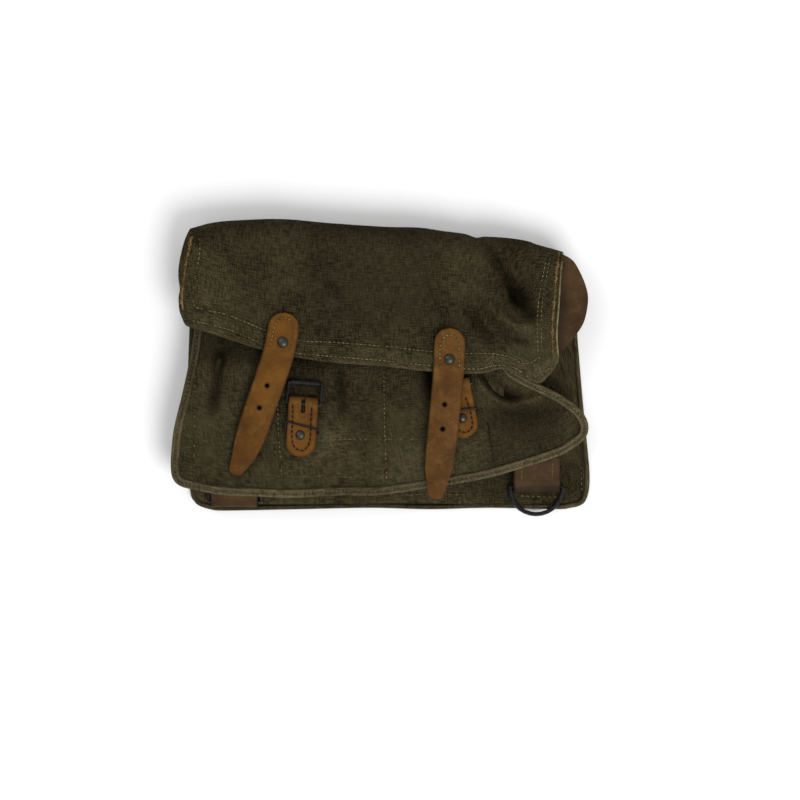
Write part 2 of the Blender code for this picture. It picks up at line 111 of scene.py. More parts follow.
lamp("key", (0.5, -0.8, 1.2), 0.8, 15)
lamp("fill", (-0.9, 0.7, 1.4), 1.4, 6)
sky = bpy.data.worlds.new("sky")
sky.use_nodes = True
sky.node_tree.nodes["Background"].inputs["Color"].default_value = (1, 1, 1, 1)
sky.node_tree.nodes["Background"].inputs["Strength"].default_value = 0.6
bpy.context.scene.world = sky
print("camera", tuple(camera.location), "and two lamps")

# %% [markdown]
# ## Curves and folds in numbers
# Cloth edges and folds are easiest to place as a few points that a smooth line runs through. The
# line is a Catmull-Rom spline, sampled at even steps. A fold is then a line with a height and a
# width: cloth rises or sinks along it and fades to nothing on both sides.

# %% Smooth lines
def smooth_line(points, count):
    """Points at even steps along the spline through the given points."""
    given = np.array(points, float)
    padded = np.vstack([2 * given[0] - given[1], given, 2 * given[-1] - given[-2]])
    t = np.linspace(0, 1, 12, endpoint=False)[:, None]
    parts = []
    for a, b, c, d in zip(padded, padded[1:], padded[2:], padded[3:]):
        parts.append(b + 0.5 * t * ((c - a) + t * (2 * a - 5 * b + 4 * c - d + t * (3 * b - a - 3 * c + d))))
    dense = np.vstack([*parts, given[-1:]])
    run = np.concatenate([[0], np.cumsum(np.linalg.norm(np.diff(dense, axis=0), axis=1))])
    steps = np.linspace(0, run[-1], count)
    return np.column_stack([np.interp(steps, run, dense[:, k]) for k in range(dense.shape[1])])


def along(line, t):
    """Points at fractions t of a line that smooth_line made."""
    grid = np.linspace(0, 1, len(line))
    return np.column_stack([np.interp(t, grid, line[:, k]) for k in range(line.shape[1])])


def ramp(value, low, high):
    """0 below low, 1 above high and smooth between them."""
    t = np.clip((value - low) / (high - low), 0, 1)
    return t * t * (3 - 2 * t)


# %% Folds
def fold(x, y, points, height, width, fade=0.25):
    """A ridge, or a valley if height is negative, along a line. Its ends fade out."""
    length = np.sum(np.linalg.norm(np.diff(np.array(points, float), axis=0), axis=1))
    line = smooth_line(points, int(max(30, length / 1.1)))
    gap = np.full(np.shape(x), 1e9)
    place = np.zeros(np.shape(x))
    for i, (px, py) in enumerate(line):
        near = np.hypot(x - px, y - py)
        closer = near < gap
        gap = np.where(closer, near, gap)
        place = np.where(closer, i / (len(line) - 1), place)
    ends = ramp(place, -0.02, fade) * (1 - ramp(place, 1 - fade, 1.02))
    return height * ends * np.exp(-(gap / width) ** 2)


def slack(x, y, seed):
    """Slow, shallow waves, a few millimetres at most, as in cloth that has been folded often."""
    rng = random.Random(seed)
    total = np.zeros(np.shape(x))
    for length in (95, 61, 43, 29, 21):
        for _ in range(3):
            turn = rng.uniform(0, math.pi)
            phase = rng.uniform(0, 2 * math.pi)
            way = x * math.cos(turn) + y * math.sin(turn)
            total += length / 260 * np.sin(way * 2 * math.pi / length + phase)
    return total


def bump(x, y, centre, reach):
    """A round hill, 1 at its centre. reach is how far it spreads in x and in y."""
    return np.exp(-((x - centre[0]) / reach[0]) ** 2 - ((y - centre[1]) / reach[1]) ** 2)


print("helpers for lines and folds are ready")

# %% [markdown]
# ## Shader groups
# Three effects come back in several materials, so each is one node group. Woven gives the height
# and the shade of a coarse plain weave from thick and thin yarns. Worn gives a broad, cloudy mask for
# fading and dirt. Grain gives the fine pebbling and cracks of old leather.

# %% Node helpers
def new_group(name, inputs, outputs):
    group = bpy.data.node_groups.new(name, "ShaderNodeTree")
    for label, kind, value in inputs:
        socket = group.interface.new_socket(label, in_out="INPUT", socket_type=kind)
        if value is not None:
            socket.default_value = value
    for label, kind in outputs:
        group.interface.new_socket(label, in_out="OUTPUT", socket_type=kind)
    return group, group.nodes.new("NodeGroupInput"), group.nodes.new("NodeGroupOutput")


def node(tree, kind, links=(), **settings):
    """Add a node. A link is (socket name or number, output socket or value)."""
    made = tree.nodes.new(kind)
    for key, value in settings.items():
        setattr(made, key, value)
    for socket, source in links:
        if isinstance(source, bpy.types.NodeSocket):
            tree.links.new(source, made.inputs[socket])
        else:
            made.inputs[socket].default_value = source
    return made


def maths(tree, operation, a, b=0.0, clamp=False):
    return node(tree, "ShaderNodeMath", [(0, a), (1, b)], operation=operation, use_clamp=clamp).outputs[0]


def times(tree, a, b):
    return maths(tree, "MULTIPLY", a, b)


def plus(tree, a, b, clamp=False):
    return maths(tree, "ADD", a, b, clamp)


def noise(tree, vector, scale, detail=3.0, rough=0.55, squeeze=(1, 1, 1)):
    mapped = node(tree, "ShaderNodeMapping", [("Vector", vector), ("Scale", squeeze)]).outputs[0]
    return node(tree, "ShaderNodeTexNoise", [("Vector", mapped), ("Scale", scale), ("Detail", detail),
                                             ("Roughness", rough)]).outputs["Fac"]


def levels(tree, value, low, high, out_low=0.0, out_high=1.0):
    return node(tree, "ShaderNodeMapRange", [("Value", value), ("From Min", low), ("From Max", high),
                                             ("To Min", out_low), ("To Max", out_high)]).outputs[0]


def blend_colour(tree, amount, a, b, mode="MIX"):
    """Mix two colours. Sockets 0, 6 and 7 are the amount and the colours, and output 2 is the mix."""
    return node(tree, "ShaderNodeMix", [(0, amount), (6, a), (7, b)], data_type="RGBA",
                blend_type=mode).outputs[2]


# %% The weave
VECTOR_IN = ("Vector", "NodeSocketVector", None)


def make_woven():
    """Plain weave. The vector is in metres, X along the weft and Y along the warp."""
    group, come, go = new_group("woven", [VECTOR_IN, ("Yarn", "NodeSocketFloat", 0.00085)],
                                [(label, "NodeSocketFloat") for label in ("Height", "Shade", "Fleck")])
    vector = come.outputs["Vector"]
    wander = noise(group, vector, 90, 2)
    parts = node(group, "ShaderNodeSeparateXYZ", [(0, vector)])
    waves = []
    for axis in (0, 1):
        drift = times(group, maths(group, "SUBTRACT", wander, 0.5), 0.0016)
        moved = plus(group, parts.outputs[axis], drift)
        turns = maths(group, "DIVIDE", times(group, moved, math.pi), come.outputs["Yarn"])
        waves.append(maths(group, "SINE", turns))
    cross = times(group, waves[0], waves[1])
    checker = times(group, plus(group, cross, 1.0), 0.5)
    weft = noise(group, vector, 1150, 1, 0.5, (0.13, 1.0, 1))
    warp = noise(group, vector, 1150, 1, 0.5, (1.0, 0.13, 1))
    slub = plus(group, weft, warp)
    yarns = times(group, levels(group, slub, 0.72, 1.28), 0.75)
    height = plus(group, yarns, times(group, checker, 0.35))
    group.links.new(height, go.inputs["Height"])
    streaks = times(group, levels(group, slub, 0.82, 1.2), 0.46)
    shade = plus(group, streaks, times(group, checker, 0.6))
    group.links.new(levels(group, shade, 0.24, 0.84), go.inputs["Shade"])
    nubs = noise(group, vector, 900, 2, 0.6, (0.8, 1.1, 1))
    group.links.new(levels(group, nubs, 0.6, 0.72), go.inputs["Fleck"])
    return group


def make_worn():
    """A cloudy mask between 0 and 1 for fading, grime and handling."""
    group, come, go = new_group("worn", [VECTOR_IN, ("Size", "NodeSocketFloat", 25.0),
                                         ("Low", "NodeSocketFloat", 0.4), ("High", "NodeSocketFloat", 0.65)],
                                [("Mask", "NodeSocketFloat")])
    vector, size, low, high = (come.outputs[label] for label in ("Vector", "Size", "Low", "High"))
    cloud = node(group, "ShaderNodeTexNoise", [("Vector", vector), ("Scale", size), ("Detail", 6.0),
                                               ("Roughness", 0.6)]).outputs["Fac"]
    group.links.new(levels(group, cloud, low, high), go.inputs["Mask"])
    return group


def make_grain():
    """Leather: pebbles, fine pores and long creases that run across the strap's length."""
    group, come, go = new_group("grain", [VECTOR_IN, ("Crease", "NodeSocketFloat", 0.5)],
                                [("Height", "NodeSocketFloat"), ("Cracks", "NodeSocketFloat")])
    vector = come.outputs["Vector"]
    pebble = node(group, "ShaderNodeTexVoronoi", [("Vector", vector), ("Scale", 950.0)]).outputs["Distance"]
    pores = noise(group, vector, 2400, 2)
    creases = noise(group, vector, 520, 2, 0.6, (0.12, 1.5, 1))
    cracks = levels(group, creases, 0.52, 0.72)
    fine = plus(group, times(group, pebble, 0.5), times(group, pores, 0.4))
    crease = times(group, cracks, come.outputs["Crease"])
    group.links.new(maths(group, "SUBTRACT", fine, crease), go.inputs["Height"])
    group.links.new(cracks, go.inputs["Cracks"])
    return group


WOVEN, WORN, GRAIN = make_woven(), make_worn(), make_grain()
print("shader groups:", WOVEN.name, WORN.name, GRAIN.name)

# %% [markdown]
# ## Materials
# The canvas is linen dyed olive, with grey-brown flecks of fading on worn places and on crests,
# where the high tone is a painted highlight, and painted shade in every hollow. Each cloth carries
# a tone value: painted shade in hollows, creases and under other parts, painted highlights on
# crests and hems, and lighter worn places; the weave and two sizes of cloudy wear break it up. The
# leather is vegetable tanned: orange-tan straps, cracked across, and a browner, drier kind for the
# ears and ring tabs. Most edges are dark and burnished.

# %% Material helpers
def new_look(name):
    look = bpy.data.materials.new(name)
    look.use_nodes = True
    tree = look.node_tree
    return look, tree, tree.nodes["Principled BSDF"]


def call(tree, group, **values):
    """Place one of the shader groups with its own values."""
    return node(tree, "ShaderNodeGroup", values.items(), node_tree=group)


def place_of(tree):
    return node(tree, "ShaderNodeTexCoord").outputs["Object"]


def flat_of(tree):
    return node(tree, "ShaderNodeUVMap", uv_map="flat").outputs[0]


def tone_of(tree):
    return node(tree, "ShaderNodeAttribute", attribute_name="tone").outputs["Fac"]


def rough_up(tree, shader, height, depth, strength=1.0):
    made = node(tree, "ShaderNodeBump", [("Height", height), ("Distance", depth), ("Strength", strength)])
    tree.links.new(made.outputs[0], shader.inputs["Normal"])


def grey(tree, value):
    return node(tree, "ShaderNodeCombineColor", [(k, value) for k in range(3)]).outputs[0]


# %% Canvas
def canvas_look(name, dark, light, wear, depth=0.00035):
    look, tree, shader = new_look(name)
    place, flat = place_of(tree), flat_of(tree)
    weave = call(tree, WOVEN, Vector=flat)
    colour = blend_colour(tree, weave.outputs["Shade"], (*dark, 1), (*light, 1))
    patchy = call(tree, WORN, Vector=place, Size=16.0, Low=0.42, High=0.66).outputs["Mask"]
    small = call(tree, WORN, Vector=place, Size=60.0, Low=0.4, High=0.85).outputs["Mask"]
    faded = times(tree, plus(tree, patchy, small, clamp=True), 0.2)
    # Wear flecks where the tone is high: on real worn places, and on hems, ridges and crests whose high tone
    # is a painted highlight.
    rubbed = maths(tree, "MULTIPLY", maths(tree, "SUBTRACT", tone_of(tree), 0.95), 4.0, clamp=True)
    rubbed = plus(tree, rubbed, plus(tree, patchy, 0.25))
    fleck = times(tree, weave.outputs["Fleck"], rubbed)
    faded = plus(tree, faded, times(tree, fleck, 0.6), clamp=True)
    colour = blend_colour(tree, faded, colour, (*wear, 1))
    grime = call(tree, WORN, Vector=place, Size=20.0, Low=0.3, High=0.62).outputs["Mask"]
    # Random grime times the tone, which holds painted shade and painted highlights as well as real wear.
    shade = times(tree, levels(tree, grime, 0, 1, 0.78, 1.04), tone_of(tree))
    colour = blend_colour(tree, 1.0, colour, grey(tree, shade), "MULTIPLY")
    tree.links.new(colour, shader.inputs["Base Color"])
    shader.inputs["Roughness"].default_value = 0.95
    shader.inputs["Specular IOR Level"].default_value = 0.03
    rough_up(tree, shader, weave.outputs["Height"], depth)
    return look


CANVAS = canvas_look("canvas", (0.0015, 0.0011, 0.0002), (0.059, 0.0475, 0.0225), (0.105, 0.087, 0.046))
PIPING = canvas_look("piping", (0.014, 0.011, 0.005), (0.108, 0.088, 0.047), (0.19, 0.158, 0.092), 0.0003)


# %% Leather
def leather_look(name, deep, plain, dry, crease):
    look, tree, shader = new_look(name)
    place, flat = place_of(tree), flat_of(tree)
    grain = call(tree, GRAIN, Vector=flat, Crease=crease)
    cloud = call(tree, WORN, Vector=place, Size=55.0, Low=0.38, High=0.62).outputs["Mask"]
    colour = blend_colour(tree, cloud, (*deep, 1), (*plain, 1))
    rubbed = call(tree, WORN, Vector=place, Size=140.0, Low=0.52, High=0.7).outputs["Mask"]
    colour = blend_colour(tree, times(tree, rubbed, 0.5), colour, (*dry, 1))
    cracks = times(tree, grain.outputs["Cracks"], crease)
    colour = blend_colour(tree, cracks, colour, (deep[0] * 0.45, deep[1] * 0.4, deep[2] * 0.4, 1))
    colour = blend_colour(tree, 1.0, colour, grey(tree, tone_of(tree)), "MULTIPLY")
    tree.links.new(colour, shader.inputs["Base Color"])
    shader.inputs["Roughness"].default_value = 0.62
    shader.inputs["Specular IOR Level"].default_value = 0.12
    rough_up(tree, shader, grain.outputs["Height"], 0.00025, 0.8)
    return look


TAN = leather_look("tan_leather", (0.078, 0.029, 0.0018), (0.122, 0.049, 0.0045), (0.165, 0.078, 0.016), 0.18)
CREASED = leather_look("creased_leather", (0.070, 0.028, 0.003), (0.118, 0.051, 0.0085),
                       (0.165, 0.082, 0.022), 0.38)
BROWN = leather_look("brown_leather", (0.036, 0.018, 0.0055), (0.064, 0.033, 0.011),
                     (0.092, 0.052, 0.021), 0.25)


# %% Steel, brass and thread
def metal_look(name, colour, patch, metallic, rough, gloss):
    look, tree, shader = new_look(name)
    place = place_of(tree)
    mask = call(tree, WORN, Vector=place, Size=420.0, Low=0.5, High=0.66).outputs["Mask"]
    tree.links.new(blend_colour(tree, mask, (*colour, 1), (*patch, 1)), shader.inputs["Base Color"])
    tree.links.new(levels(tree, mask, 0, 1, rough, rough + 0.25), shader.inputs["Roughness"])
    shader.inputs["Metallic"].default_value = metallic
    shader.inputs["Specular IOR Level"].default_value = gloss
    rough_up(tree, shader, noise(tree, place, 900, 3), 0.00008)
    return look


def thread_look(name, colour, pale):
    look, tree, shader = new_look(name)
    mask = call(tree, WORN, Vector=place_of(tree), Size=160.0, Low=0.42, High=0.6).outputs["Mask"]
    tree.links.new(blend_colour(tree, mask, (*colour, 1), (*pale, 1)), shader.inputs["Base Color"])
    shader.inputs["Roughness"].default_value = 0.85
    shader.inputs["Specular IOR Level"].default_value = 0.1
    return look


STEEL = metal_look("black_steel", (0.0035, 0.0035, 0.004), (0.014, 0.010, 0.008), 0.0, 0.34, 0.24)
BRASS = metal_look("rivet_brass", (0.060, 0.056, 0.040), (0.024, 0.021, 0.016), 0.85, 0.36, 0.3)
PALE_THREAD = thread_look("pale_thread", (0.084, 0.070, 0.030), (0.215, 0.178, 0.082))
OCHRE_THREAD = thread_look("ochre_thread", (0.085, 0.054, 0.018), (0.20, 0.135, 0.05))
DARK_THREAD = thread_look("dark_thread", (0.010, 0.005, 0.0025), (0.024, 0.012, 0.006))
print("materials:", [m.name for m in bpy.data.materials])

# %% [markdown]
# ## Cloth
# A panel of cloth is a plane grid that is moved onto its shape and then given its thickness. The
# grid also keeps a flat map of the cloth in metres, taken from the distances along its rows and
# columns, so the weave follows the panel's own sides as cut cloth does.

# %% Cloth helpers
def patch(bottom, top, left, right, across, up):
    """Points between four edge lines, at the fractions across and up, as x and y (and z if given)."""
    u, v = np.broadcast_arrays(across, up)
    shape = u.shape
    u, v = u.ravel(), v.ravel()
    low, high, west, east = (along(smooth_line(line, 300), t) for line, t in
                             ((bottom, u), (top, u), (left, v), (right, v)))
    a, b, c, d = (np.array(p, float) for p in (bottom[0], bottom[-1], top[0], top[-1]))
    u, v = u[:, None], v[:, None]
    corners = (1 - u) * (1 - v) * a + u * (1 - v) * b + (1 - u) * v * c + u * v * d
    return ((1 - v) * low + v * high + (1 - u) * west + u * east - corners).reshape(*shape, -1)


def flat_map(points):
    """Distances along the rows and up the columns from the middle one."""
    rows = np.cumsum(np.linalg.norm(np.diff(points, axis=1), axis=2), axis=1)
    cols = np.cumsum(np.linalg.norm(np.diff(points, axis=0), axis=2), axis=0)
    across = np.pad(rows, ((0, 0), (1, 0)))
    up = np.pad(cols, ((1, 0), (0, 0)))
    across -= across[:, [points.shape[1] // 2]]
    return np.stack([across, up], axis=2)


def finish_piece(name, mesh, look, body=None, stands_for=()):
    """Turn a bmesh into an object with its material and body, and hide the nodes it stands for."""
    bmesh.ops.recalc_face_normals(mesh, faces=mesh.faces[:])
    for face in mesh.faces:
        face.smooth = True
    data = bpy.data.meshes.new(name)
    mesh.to_mesh(data)
    mesh.free()
    data.materials.append(look)
    obj = bpy.data.objects.new(name, data)
    bpy.context.scene.collection.objects.link(obj)
    if stands_for:
        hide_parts(*stands_for)
    if body:
        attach(obj, body)
    return obj


def facing(points):
    """Unit normals of a grid of points."""
    normal = np.cross(np.gradient(points, axis=1), np.gradient(points, axis=0))
    length = np.linalg.norm(normal, axis=2, keepdims=True)
    mean = normal.sum(axis=(0, 1))
    mean /= max(np.linalg.norm(mean), 1e-9)
    normal = np.where(length > 1e-4, normal / np.maximum(length, 1e-4), mean)
    for _ in range(2):
        normal[1:-1] = (normal[:-2] + normal[1:-1] + normal[2:]) / 3
        normal[:, 1:-1] = (normal[:, :-2] + normal[:, 1:-1] + normal[:, 2:]) / 3
    return normal / np.maximum(np.linalg.norm(normal, axis=2, keepdims=True), 1e-6)


def cloth_mesh(points, thick):
    """A solid sheet. The points, in millimetres, are its outer face; thick is below it."""
    rows, cols = points.shape[:2]
    flat = flat_map(points) * MM
    mesh = bmesh.new()
    layer = mesh.loops.layers.uv.new("flat")
    bmesh.ops.create_grid(mesh, x_segments=cols - 1, y_segments=rows - 1, size=0.5)
    outer = set(mesh.verts)
    inner_points = points
    if thick:
        inner_points = points - thick * facing(points)
        inner_points[..., 2] = np.maximum(inner_points[..., 2], 0.2)
        bmesh.ops.extrude_face_region(mesh, geom=mesh.faces[:], use_keep_orig=True)
    spot = {}
    for vert in mesh.verts:
        i = round((vert.co.x + 0.5) * (cols - 1))
        j = round((vert.co.y + 0.5) * (rows - 1))
        spot[vert] = flat[j, i]
        vert.co = (points if vert in outer else inner_points)[j, i] * MM
    for face in mesh.faces:
        for loop in face.loops:
            loop[layer].uv = spot[loop.vert]
    return mesh


# The tone scales the colour: it holds painted shade and painted highlights, as well as real wear and dark
# edges.
def set_tone(obj, tone):
    """Store a tone for every vertex. tone takes x, y and z in millimetres."""
    data = obj.data
    places = np.empty(len(data.vertices) * 3)
    data.vertices.foreach_get("co", places)
    x, y, z = places.reshape(-1, 3).T / MM
    values = np.broadcast_to(tone(x, y, z), x.shape).astype(np.float32)
    data.attributes.new("tone", "FLOAT", "POINT").data.foreach_set("value", values)


def size_of(obj):
    spread = np.ptp(np.array([v.co for v in obj.data.vertices]), axis=0) / MM
    return [round(float(n)) for n in spread], "mm,", len(obj.data.polygons), "faces"


print("cloth helpers are ready")

# %% [markdown]
# ## Flap
# The flap is one wide piece of canvas that rolls over the top edge and lies closed on the front. Its
# hem is turned twice and stitched in two rows, so it stands a little proud, and the rows pull
# grooves. The right end has been folded over and over, which leaves deep slanting creases, and the
# left end curls down. The roll at the top takes the place of the crown.

# %% Flap outline
HEM = [(-129.5, 27.6), (-116, 23.6), (-101, 18.7), (-82, 12.8), (-59, 7.8), (-32, 3.9), (3, 1.4), (28, -1.6),
       (59, -3.6), (73, -3.6), (86, -0.7), (102, -6.6), (112, -10.5), (119, -5), (126, 4.3)]
CROWN = [(-134, 99.6), (-116, 104), (-91, 105.8), (-67, 106.1), (-35, 103.3), (4, 100.7), (27, 100.2),
         (45, 97.7), (60, 95.7), (68.5, 93), (74, 93.7), (88, 93), (103, 91), (112, 88), (123, 85),
         (130, 83)]
FLAP_LEFT = [(-129.5, 27.6), (-136, 30.1), (-139, 36), (-140.6, 41), (-141.2, 49), (-140.3, 56),
             (-141.4, 63.6), (-141, 73.5), (-138, 87.3), (-134, 99.6)]
FLAP_RIGHT = [(126, 4.3), (125, 24), (126.4, 43.6), (128, 68), (130, 83)]
INNER_ROW = [(-129.4, 98.9), (-125.9, 85), (-129.4, 63.5), (-130.9, 51.7), (-130.4, 45.7),
             (-127.4, 42.3), (-108, 37.9), (-95, 32.9), (-78, 26), (-56, 19.6), (-32, 18.2), (3, 15.5),
             (36, 11.9), (61, 10.6), (78, 10.4), (90.5, 8.2), (98.4, 4.2), (104.3, 3.3), (113.2, 8.2)]
OUTER_ROW = [(-138.8, 45.7), (-134.8, 33.9), (-116, 30), (-101, 25.5), (-82, 17.2), (-58, 10.8), (-32, 8.3),
             (3, 5.3), (36, 1.8), (67, -0.5), (79, 1.8), (90.5, 1.8), (98.4, -1.7), (105, -6.6), (111, -7.6),
             (122, 3.3)]
LADDER = [(119, 81), (116, 66), (113, 48.5), (112, 28.8), (112.6, 11)]


# %% Flap creases
FLAP_TOP = 35.3
DEEP_CREASE = [(68, 93), (75, 86), (82, 75), (89, 64), (94.5, 52.5), (98, 41)]
HOLLOW = [(92, 56), (102, 45), (107, 37), (104, 31)]
STEEP_CREASE = [(57, 52), (65, 37), (77, 19), (83, 13)]
CORNER_CREASE = [(73, 41), (83, 31), (92, 24), (102, 19), (110, 16)]
FLAP_FOLDS = [
    (DEEP_CREASE, -5.0, 3.6), ([(78, 92), (86, 82), (94, 70), (100, 58)], 2.6, 5.5), (HOLLOW, -5.0, 4.6),
    ([(59, 65), (73, 52), (79, 41), (88, 33), (97, 28), (108, 32)], 3.6, 5.0), (STEEP_CREASE, -2.8, 3.8),
    (CORNER_CREASE, -2.4, 3.2), ([(58, 22), (66, 10), (74, 2)], -1.4, 3.6),
    ([(-66, 102), (-62, 92), (-54, 84)], -1.3, 4.5), ([(-100, 52), (-60, 47), (-20, 49)], 0.8, 7.0),
    ([(-20, 78), (10, 66), (44, 60)], -0.9, 9.0), (INNER_ROW, -0.55, 1.1, 0.02), (OUTER_ROW, -0.5, 1.1, 0.02),
    (LADDER, -0.6, 1.4, 0.02),
]


def folds(x, y, rows):
    """The sum of several folds, each given as its line, height, width and, if it needs one, fade."""
    return sum(fold(x, y, *row) for row in rows)


def flap_height(x, y):
    z = FLAP_TOP + 0.9 * slack(x, y, 4) + folds(x, y, FLAP_FOLDS)
    return z - 3.0 * bump(x, y, (97, 52), (10, 15))


# %% Flap cloth
def rolled(bottom, top, left, right, columns, rows, round_plan, round_high, height, sense):
    """A panel whose top end rolls over the crown. sense is -1 to roll down and 1 to roll up."""
    u = np.linspace(0, 1, columns)[None, :]
    ends = patch(bottom, top, left, right, u, np.array([[0.0], [1.0]]))
    length = np.linalg.norm(ends[1] - ends[0], axis=1)[None, :]
    run = np.linspace(0, 1, rows)[:, None] * (length - round_plan + 0.5 * math.pi * round_plan)
    turn = np.clip((run - (length - round_plan)) / round_plan, 0, math.pi / 2)
    far = np.where(turn > 0, length - round_plan + round_plan * np.sin(turn), run)
    plan = patch(bottom, top, left, right, u, far / length)
    x, y = plan[..., 0], plan[..., 1]
    z = height(x, y, u, run, turn) + sense * round_high * (1 - np.cos(turn))
    return np.stack([x, y, z], axis=2)


FLAP_SPAN = 262
CROWN_REACH = 16


def flap_shape(x, y, u, run, turn):
    """The hem and both ends curl down, and the turned hem stands a little proud."""
    loose = 1 - turn / (math.pi / 2)
    z = FLAP_TOP + (flap_height(x, y) - FLAP_TOP) * loose
    z -= 1.7 * (1 - ramp(run, 0, 9)) + 3.6 * (1 - ramp(u * FLAP_SPAN, 0, 9)) * loose
    z -= 1.2 * (1 - ramp((1 - u) * FLAP_SPAN, 0, 7))
    return z + 0.7 * (1 - ramp(run, 9, 13))


flap_points = rolled(HEM, CROWN, FLAP_LEFT, FLAP_RIGHT, 210, 94, CROWN_REACH, 15.8, flap_shape, -1)
flap = finish_piece("flap_cloth", cloth_mesh(flap_points, 1.5), CANVAS,
                    stands_for=["flap_panel", "flap_crown"])


# Tone along lines: painted shade in the stitch grooves, the hollow and the creases, and painted highlights on
# the hem, the right end and the ridges.
FLAP_PAINTED_SHADE_AND_HIGHLIGHT = [
    (INNER_ROW, -0.22, 1.2, 0.01), (OUTER_ROW, -0.25, 1.2, 0.01), (HOLLOW, -0.42, 5.0),
    (DEEP_CREASE, -0.38, 3.2), (STEEP_CREASE, -0.22, 4.0), (CORNER_CREASE, -0.25, 3.4),
    (HEM, 0.6, 1.2, 0.01), (FLAP_RIGHT, 0.8, 1.3, 0.01),
    ([(78, 41), (90, 32.5), (101, 28.5), (110, 32)], 0.3, 2.6),
    ([(62, 42), (68, 32), (78, 24), (99, 18.5), (109, 14.5)], -0.28, 3.2),
    ([(58, 60), (72, 50), (84, 44)], 0.15, 5.0),
]


def flap_tone(x, y, z):
    # Darker over the middle of the upper flap.
    tone = 0.9 - 0.28 * ramp(x, -75, -25) * ramp(y, 18, 40) * (1 - 0.7 * ramp(x, 30, 60))
    # Lighter on a real worn patch at the left end, and a little lighter round (62, 70).
    tone += 0.4 * bump(x, y, (-118, 60), (16, 20)) + 0.16 * bump(x, y, (62, 70), (16, 14))
    # Painted shade in the hollow of the right fold.
    tone -= 0.34 * bump(x, y, (98, 52), (10, 16))
    tone += folds(x, y, FLAP_PAINTED_SHADE_AND_HIGHLIGHT)
    # Painted highlight on the proud hem band, and painted shade towards the top of the crown.
    tone += 0.28 * (1 - ramp(y - np.interp(x, *np.array(HEM).T), 10, 15)) - 0.08 * ramp(y, 80, 100)
    # Painted shade where the cloth rolls down, away from the lamps.
    return np.clip(tone * (1 - 0.35 * ramp(35 - z, 8, 17)), 0.2, 1.5)


set_tone(flap, flap_tone)
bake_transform(flap)
print("flap", *size_of(flap))

# %% [markdown]
# ## Back and gusset
# The back is the plain panel the bag lies on, and its top end rolls up to meet the flap. The gusset
# is a strip of canvas sewn between the front and the back. The empty bag has collapsed, so the
# strip is tucked inwards like a bellows, and only its lower leaf shows beyond the front.

# %% Back cloth
BACK_LOW = [(-132, -94), (-129.5, -96.5), (-122, -99), (-111, -100), (-57, -99), (-7, -98), (36, -99),
            (79, -98), (126, -99), (137, -98), (143, -96.5), (146.5, -93.5)]
BACK_LEFT = [(-132, -94), (-134.5, -88), (-137, -58), (-137, -22), (-134.5, 50), (-133, 88), (-134, 99.6)]
BACK_RIGHT = [(146.5, -93.5), (148.6, -86), (149, -76), (148, -62), (144, -22), (141, 14), (138, 50),
              (134, 74), (130, 83)]


def back_shape(x, y, u, run, turn):
    return 0.25 + 0.25 * (1 + np.sin(x / 17 + y / 23)) * (1 - turn / (math.pi / 2))


back_points = rolled(BACK_LOW, CROWN, BACK_LEFT, BACK_RIGHT, 150, 110, CROWN_REACH, 19.2, back_shape, 1)
back = finish_piece("back_cloth", cloth_mesh(back_points[::-1], 1.5), CANVAS,
                    stands_for=["back_panel"])
# Painted shade: the back darkens as it rolls up towards the crown.
set_tone(back, lambda x, y, z: 0.95 - 0.3 * ramp(z, 8, 19))
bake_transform(back)
print("back", *size_of(back))


# %% Gusset cloth
def sewn_line(points, steps, passes):
    """A line with the same number of steps in each stretch and its corners softened."""
    given = np.array(points, float)
    line = np.vstack([a + (b - a) * np.linspace(0, 1, n, endpoint=False)[:, None]
                      for a, b, n in zip(given, given[1:], steps)] + [given[-1:]])
    for _ in range(passes):
        line[1:-1] = (line[:-2] + line[1:-1] + line[2:]) / 3
    return line


GUSSET_STEPS = (30, 33, 24, 28, 25, 20, 32, 30)
GUSSET_RAILS = [
    [(-132, 88, 2.2), (-135, 0, 2.2), (-135.5, -97, 2.2), (-64, -97.5, 2.2), (20, -96.5, 2.2), (94, -97, 2.2),
     (147, -96.5, 2.2), (141, -5, 2.2), (134, 80, 2.2)],
    [(-131, 88, 4.2), (-133, 0, 4.2), (-132.5, -94.5, 4.4), (-64, -95, 4.6), (20, -94, 4.6), (94, -94.5, 4.6),
     (144, -93.5, 4.2), (138, -5, 4.2), (131, 80, 4.2)],
    [(-109, 88, 7.5), (-111, 0, 7.5), (-111, -74, 7.5), (-64, -74, 7.5), (20, -71, 7.5), (94, -61, 7.5),
     (116, -59, 7.5), (109, -5, 7.5), (108, 80, 7.5)],
    [(-108, 88, 20), (-109, 0, 20), (-109, -72, 20), (-64, -72, 20), (20, -69, 20), (94, -59, 20),
     (118, -51, 20), (99, -8, 20), (110, 80, 20)],
    [(-122, 88, 25), (-130, 0, 25), (-142, -82, 25), (-64, -87, 25), (20, -83, 25), (94, -68.5, 25),
     (150, -42, 25), (95, -6, 25), (118, 80, 25)],
]
rails = [sewn_line(rail, GUSSET_STEPS, 14) for rail in GUSSET_RAILS]
profile_steps = 30
gusset_points = np.stack([smooth_line(across_rails, profile_steps) for across_rails in zip(*rails)], axis=1)
depth = np.sin(np.linspace(0, math.pi, profile_steps))[:, None]
gusset_points[..., 2] += 0.7 * depth * slack(gusset_points[..., 0], gusset_points[..., 1], 9)
gusset = finish_piece("gusset_cloth", cloth_mesh(gusset_points, 1.3), CANVAS, "root", ["gusset"])
# Painted shade where the strip tucks in under the front and on its right part under the front panel, and a
# painted highlight on its outer bottom fold.
set_tone(gusset, lambda x, y, z: 1.15 - 0.7 * ramp(z, 7, 12) + 0.1 * ramp(-y, 88, 95)
         - 0.45 * ramp(x, 40, 90) * ramp(-y, 60, 75))
print("gusset", *size_of(gusset))

# %% [markdown]
# ## Front
# The front panel is the largest visible cloth. It sags a little between its seams, its lower right
# corner sticks out as a stiff bound point, and a fold pushes up beside the right strap. Rows of
# stitches suggest an inner pocket behind it. Its sides and bottom are bound with a doubled tape.

